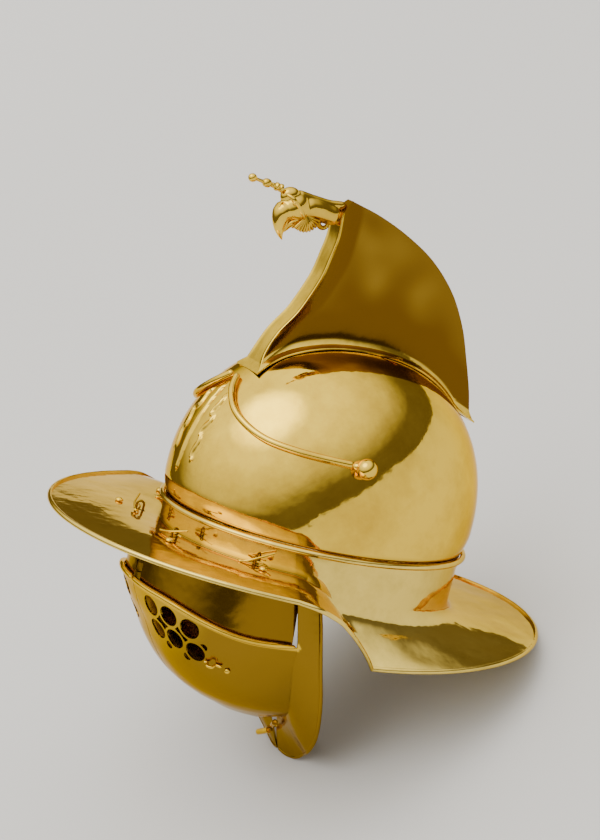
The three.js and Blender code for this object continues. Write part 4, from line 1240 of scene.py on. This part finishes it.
for spot, head in (("front", 9), ("side", 12)):
    add_sides(
        f"pin_wire_{spot}", lambda: pin_form(LOOP_SPOTS[spot], head), fitting_brass, f"hairpin_{spot}"
    )


# The brim's rivets: turned buttons with a washer below.
RIVET_SPOTS = {"front": (0.324, 0.376), "side": (0.811, 0.275)}  # brim turn and reach
RIVET_ROWS = [  # rise above the brim, and radius
    (-3.8, 0.1), (-3.7, 1.8), (-3.5, 2.2), (-2.3, 2.3), (-2.1, 2), (-2.05, 1), (0.35, 1),
    (0.4, 2.7), (0.6, 3), (1.1, 3), (1.7, 2.7), (2.4, 1.8), (2.8, 0.8), (2.9, 0.1),
]


def rivet_form(turn, reach):
    spot = brim_point(brim_cut(turn), reach)
    small = 1.5
    slope_x = (brim_top(spot.x + small, spot.y) - brim_top(spot.x - small, spot.y)) / (2 * small)
    slope_y = (brim_top(spot.x, spot.y + small) - brim_top(spot.x, spot.y - small)) / (2 * small)
    foot = Vector((spot.x, spot.y, brim_top(spot.x, spot.y)))
    return turned_form(foot, Vector((-slope_x, -slope_y, 1)).normalized(), RIVET_ROWS, 36, 3)


for spot, place in RIVET_SPOTS.items():
    add_sides(f"rivet_{spot}", lambda: rivet_form(*place), fitting_brass, f"brim_rivet_{spot}")


# The clips and their rivets, on the bowl's sides.
CLIP_SPOT, CLIP_RIVET_SPOT, LIE_GAP = (74, 33), (87, 33), 0.35
CLIP_LINE = [  # along the bowl, and off its face
    (-6, 0.9), (-3.4, 0.9), (-2.6, 2.6), (-1.8, 4.1), (1.8, 4.1), (2.6, 2.6), (3.4, 0.9), (8, 0.9),
]
CLIP_RADIUS = 1.1
BUTTON_ROWS = [  # rise above the bowl, and radius
    (0, 0.1), (0.02, 2), (0.3, 2.15), (0.8, 2.05), (1.4, 1.5), (1.8, 0.7), (1.9, 0.1),
]


def clip_form():
    centre, across, _, normal = bowl_frame(*CLIP_SPOT)
    face = centre + normal * (SHEET / 2 + LIE_GAP)
    line = [face + across * along + normal * off for along, off in CLIP_LINE]
    return rod_form(line, lambda share: CLIP_RADIUS, 16, 70)


def clip_rivet_form():
    centre, _, _, normal = bowl_frame(*CLIP_RIVET_SPOT)
    return turned_form(centre + normal * (SHEET / 2 + LIE_GAP), normal, BUTTON_ROWS, 32, 4)


add_sides("clip_wire", clip_form, fitting_brass, "visor_clip")
add_sides("clip_rivet_button", clip_rivet_form, fitting_brass, "clip_rivet")


# The chin catch: a short tube on each half's band, in line with each other.
TUBE_RADIUS, TUBE_BORE, BORE_DEPTH, TUBE_BREAK = 2.4, 1.3, 5, 0.15
CHIN = {"left": Vector(at_visor(FOLD[-1])), "right": Vector(at_visor(EDGE[-2]))}
CHIN["right"].x *= -1
CATCHES = {  # the tube's ends and the foot of its stand, from the band's end on that side
    "left": ((0, -2.1, -10), (14, -9.3, -2.5), (6.5, -2.6, -6.5)),
    "right": ((-14, -8.1, 3.5), (7.5, -12.2, 13.5), (-2.5, -7.4, 9)),
}


def tube_form(start, end):
    """A short tube, bored from both ends."""
    length = (end - start).length
    mouth, rim = TUBE_BORE + 0.1, TUBE_RADIUS - TUBE_BREAK
    rows = [
        (BORE_DEPTH, 0.1), (BORE_DEPTH, TUBE_BORE), (0.1, TUBE_BORE), (0, mouth), (0, rim),
        (TUBE_BREAK, TUBE_RADIUS), (length - TUBE_BREAK, TUBE_RADIUS), (length, rim),
        (length, mouth), (length - 0.1, TUBE_BORE), (length - BORE_DEPTH, TUBE_BORE),
        (length - BORE_DEPTH, 0.1),
    ]
    return turned_form(start, (end - start).normalized(), rows, 32, 1)


for side, catch in CATCHES.items():
    start, end, stand = (Vector(place) + CHIN[side] for place in catch)
    tube = tube_form(start, end)
    add_form(tube, rod_form([start.lerp(end, 0.5), stand], sizes(2.2, 3), 20, 12))
    catch_piece = make_piece(tube, f"catch_tube_{side}", fitting_brass)
    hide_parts(f"chin_catch_{side}")


# The studio: a pale floor, a soft sky that is darker low down and glows overhead, and large
# soft lights for the floor and the shadow, which the metal doesn't mirror.
floor_finish = Finish("floor")
floor_finish.shader.inputs["Base Color"].default_value = (0.56, 0.55, 0.53, 1)
floor_finish.shader.inputs["Roughness"].default_value = 0.7
floor_form = bmesh.new()
bmesh.ops.create_grid(floor_form, x_segments=1, y_segments=1, size=6)
floor_mesh = bpy.data.meshes.new("floor")
floor_form.to_mesh(floor_mesh)
floor_form.free()
floor_mesh.materials.append(floor_finish.material)
floor = bpy.data.objects.new("floor", floor_mesh)
bpy.context.scene.collection.objects.link(floor)
floor.location.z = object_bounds()[0].z

world = bpy.data.worlds.new("studio")
bpy.context.scene.world = world
world.use_nodes = True
sky = world.node_tree
sky_place = sky.nodes.new("ShaderNodeTexCoord")
sky_parts = sky.nodes.new("ShaderNodeSeparateXYZ")
sky_ramp = sky.nodes.new("ShaderNodeValToRGB")
sky.links.new(sky_place.outputs["Generated"], sky_parts.inputs[0])
sky.links.new(sky_parts.outputs["Z"], sky_ramp.inputs[0])
sky.links.new(sky_ramp.outputs[0], sky.nodes["Background"].inputs["Color"])
SKY = [  # by height of the direction, from level to straight up
    (0, (0.1, 0.085, 0.065, 1)), (0.2, (0.12, 0.105, 0.085, 1)),
    (0.42, (0.62, 0.6, 0.56, 1)), (0.75, (1, 0.98, 0.94, 1)),
]
for extra in SKY[2:]:
    sky_ramp.color_ramp.elements.new(extra[0])
for element, (place, tint) in zip(sky_ramp.color_ramp.elements, SKY):
    element.position = place
    element.color = tint
GLOW_FROM = Vector((0.12, -0.1, 1)).normalized()
GLOW = {"From Min": 0.86, "From Max": 1, "To Min": 1.8, "To Max": 5}
sky_dot = sky.nodes.new("ShaderNodeVectorMath")
sky_dot.operation = "DOT_PRODUCT"
sky_dot.inputs[1].default_value = GLOW_FROM
sky.links.new(sky_place.outputs["Generated"], sky_dot.inputs[0])
sky_glow = sky.nodes.new("ShaderNodeMapRange")
sky_glow.interpolation_type = "SMOOTHSTEP"
for socket, amount in GLOW.items():
    sky_glow.inputs[socket].default_value = amount
sky.links.new(sky_dot.outputs["Value"], sky_glow.inputs["Value"])
sky.links.new(sky_glow.outputs["Result"], sky.nodes["Background"].inputs["Strength"])

LIGHTS = [
    {"name": "key", "place": (0.9, -1.6, 2.2), "size": 2, "power": 20},
    {"name": "top", "place": (-0.2, 0.4, 3), "size": 2.6, "power": 12},
    {"name": "far", "place": (-2.6, 0, 1.4), "size": 2.2, "power": 14},
]
aim = Vector((0, 0, 0.2))
for row in LIGHTS:
    light = bpy.data.lights.new(row["name"], "AREA")
    light.size = row["size"]
    light.energy = row["power"]
    lamp = bpy.data.objects.new(row["name"], light)
    lamp.location = row["place"]
    lamp.visible_camera = False
    lamp.visible_glossy = False
    lamp.rotation_euler = (aim - lamp.location).to_track_quat("-Z", "Y").to_euler()
    bpy.context.scene.collection.objects.link(lamp)
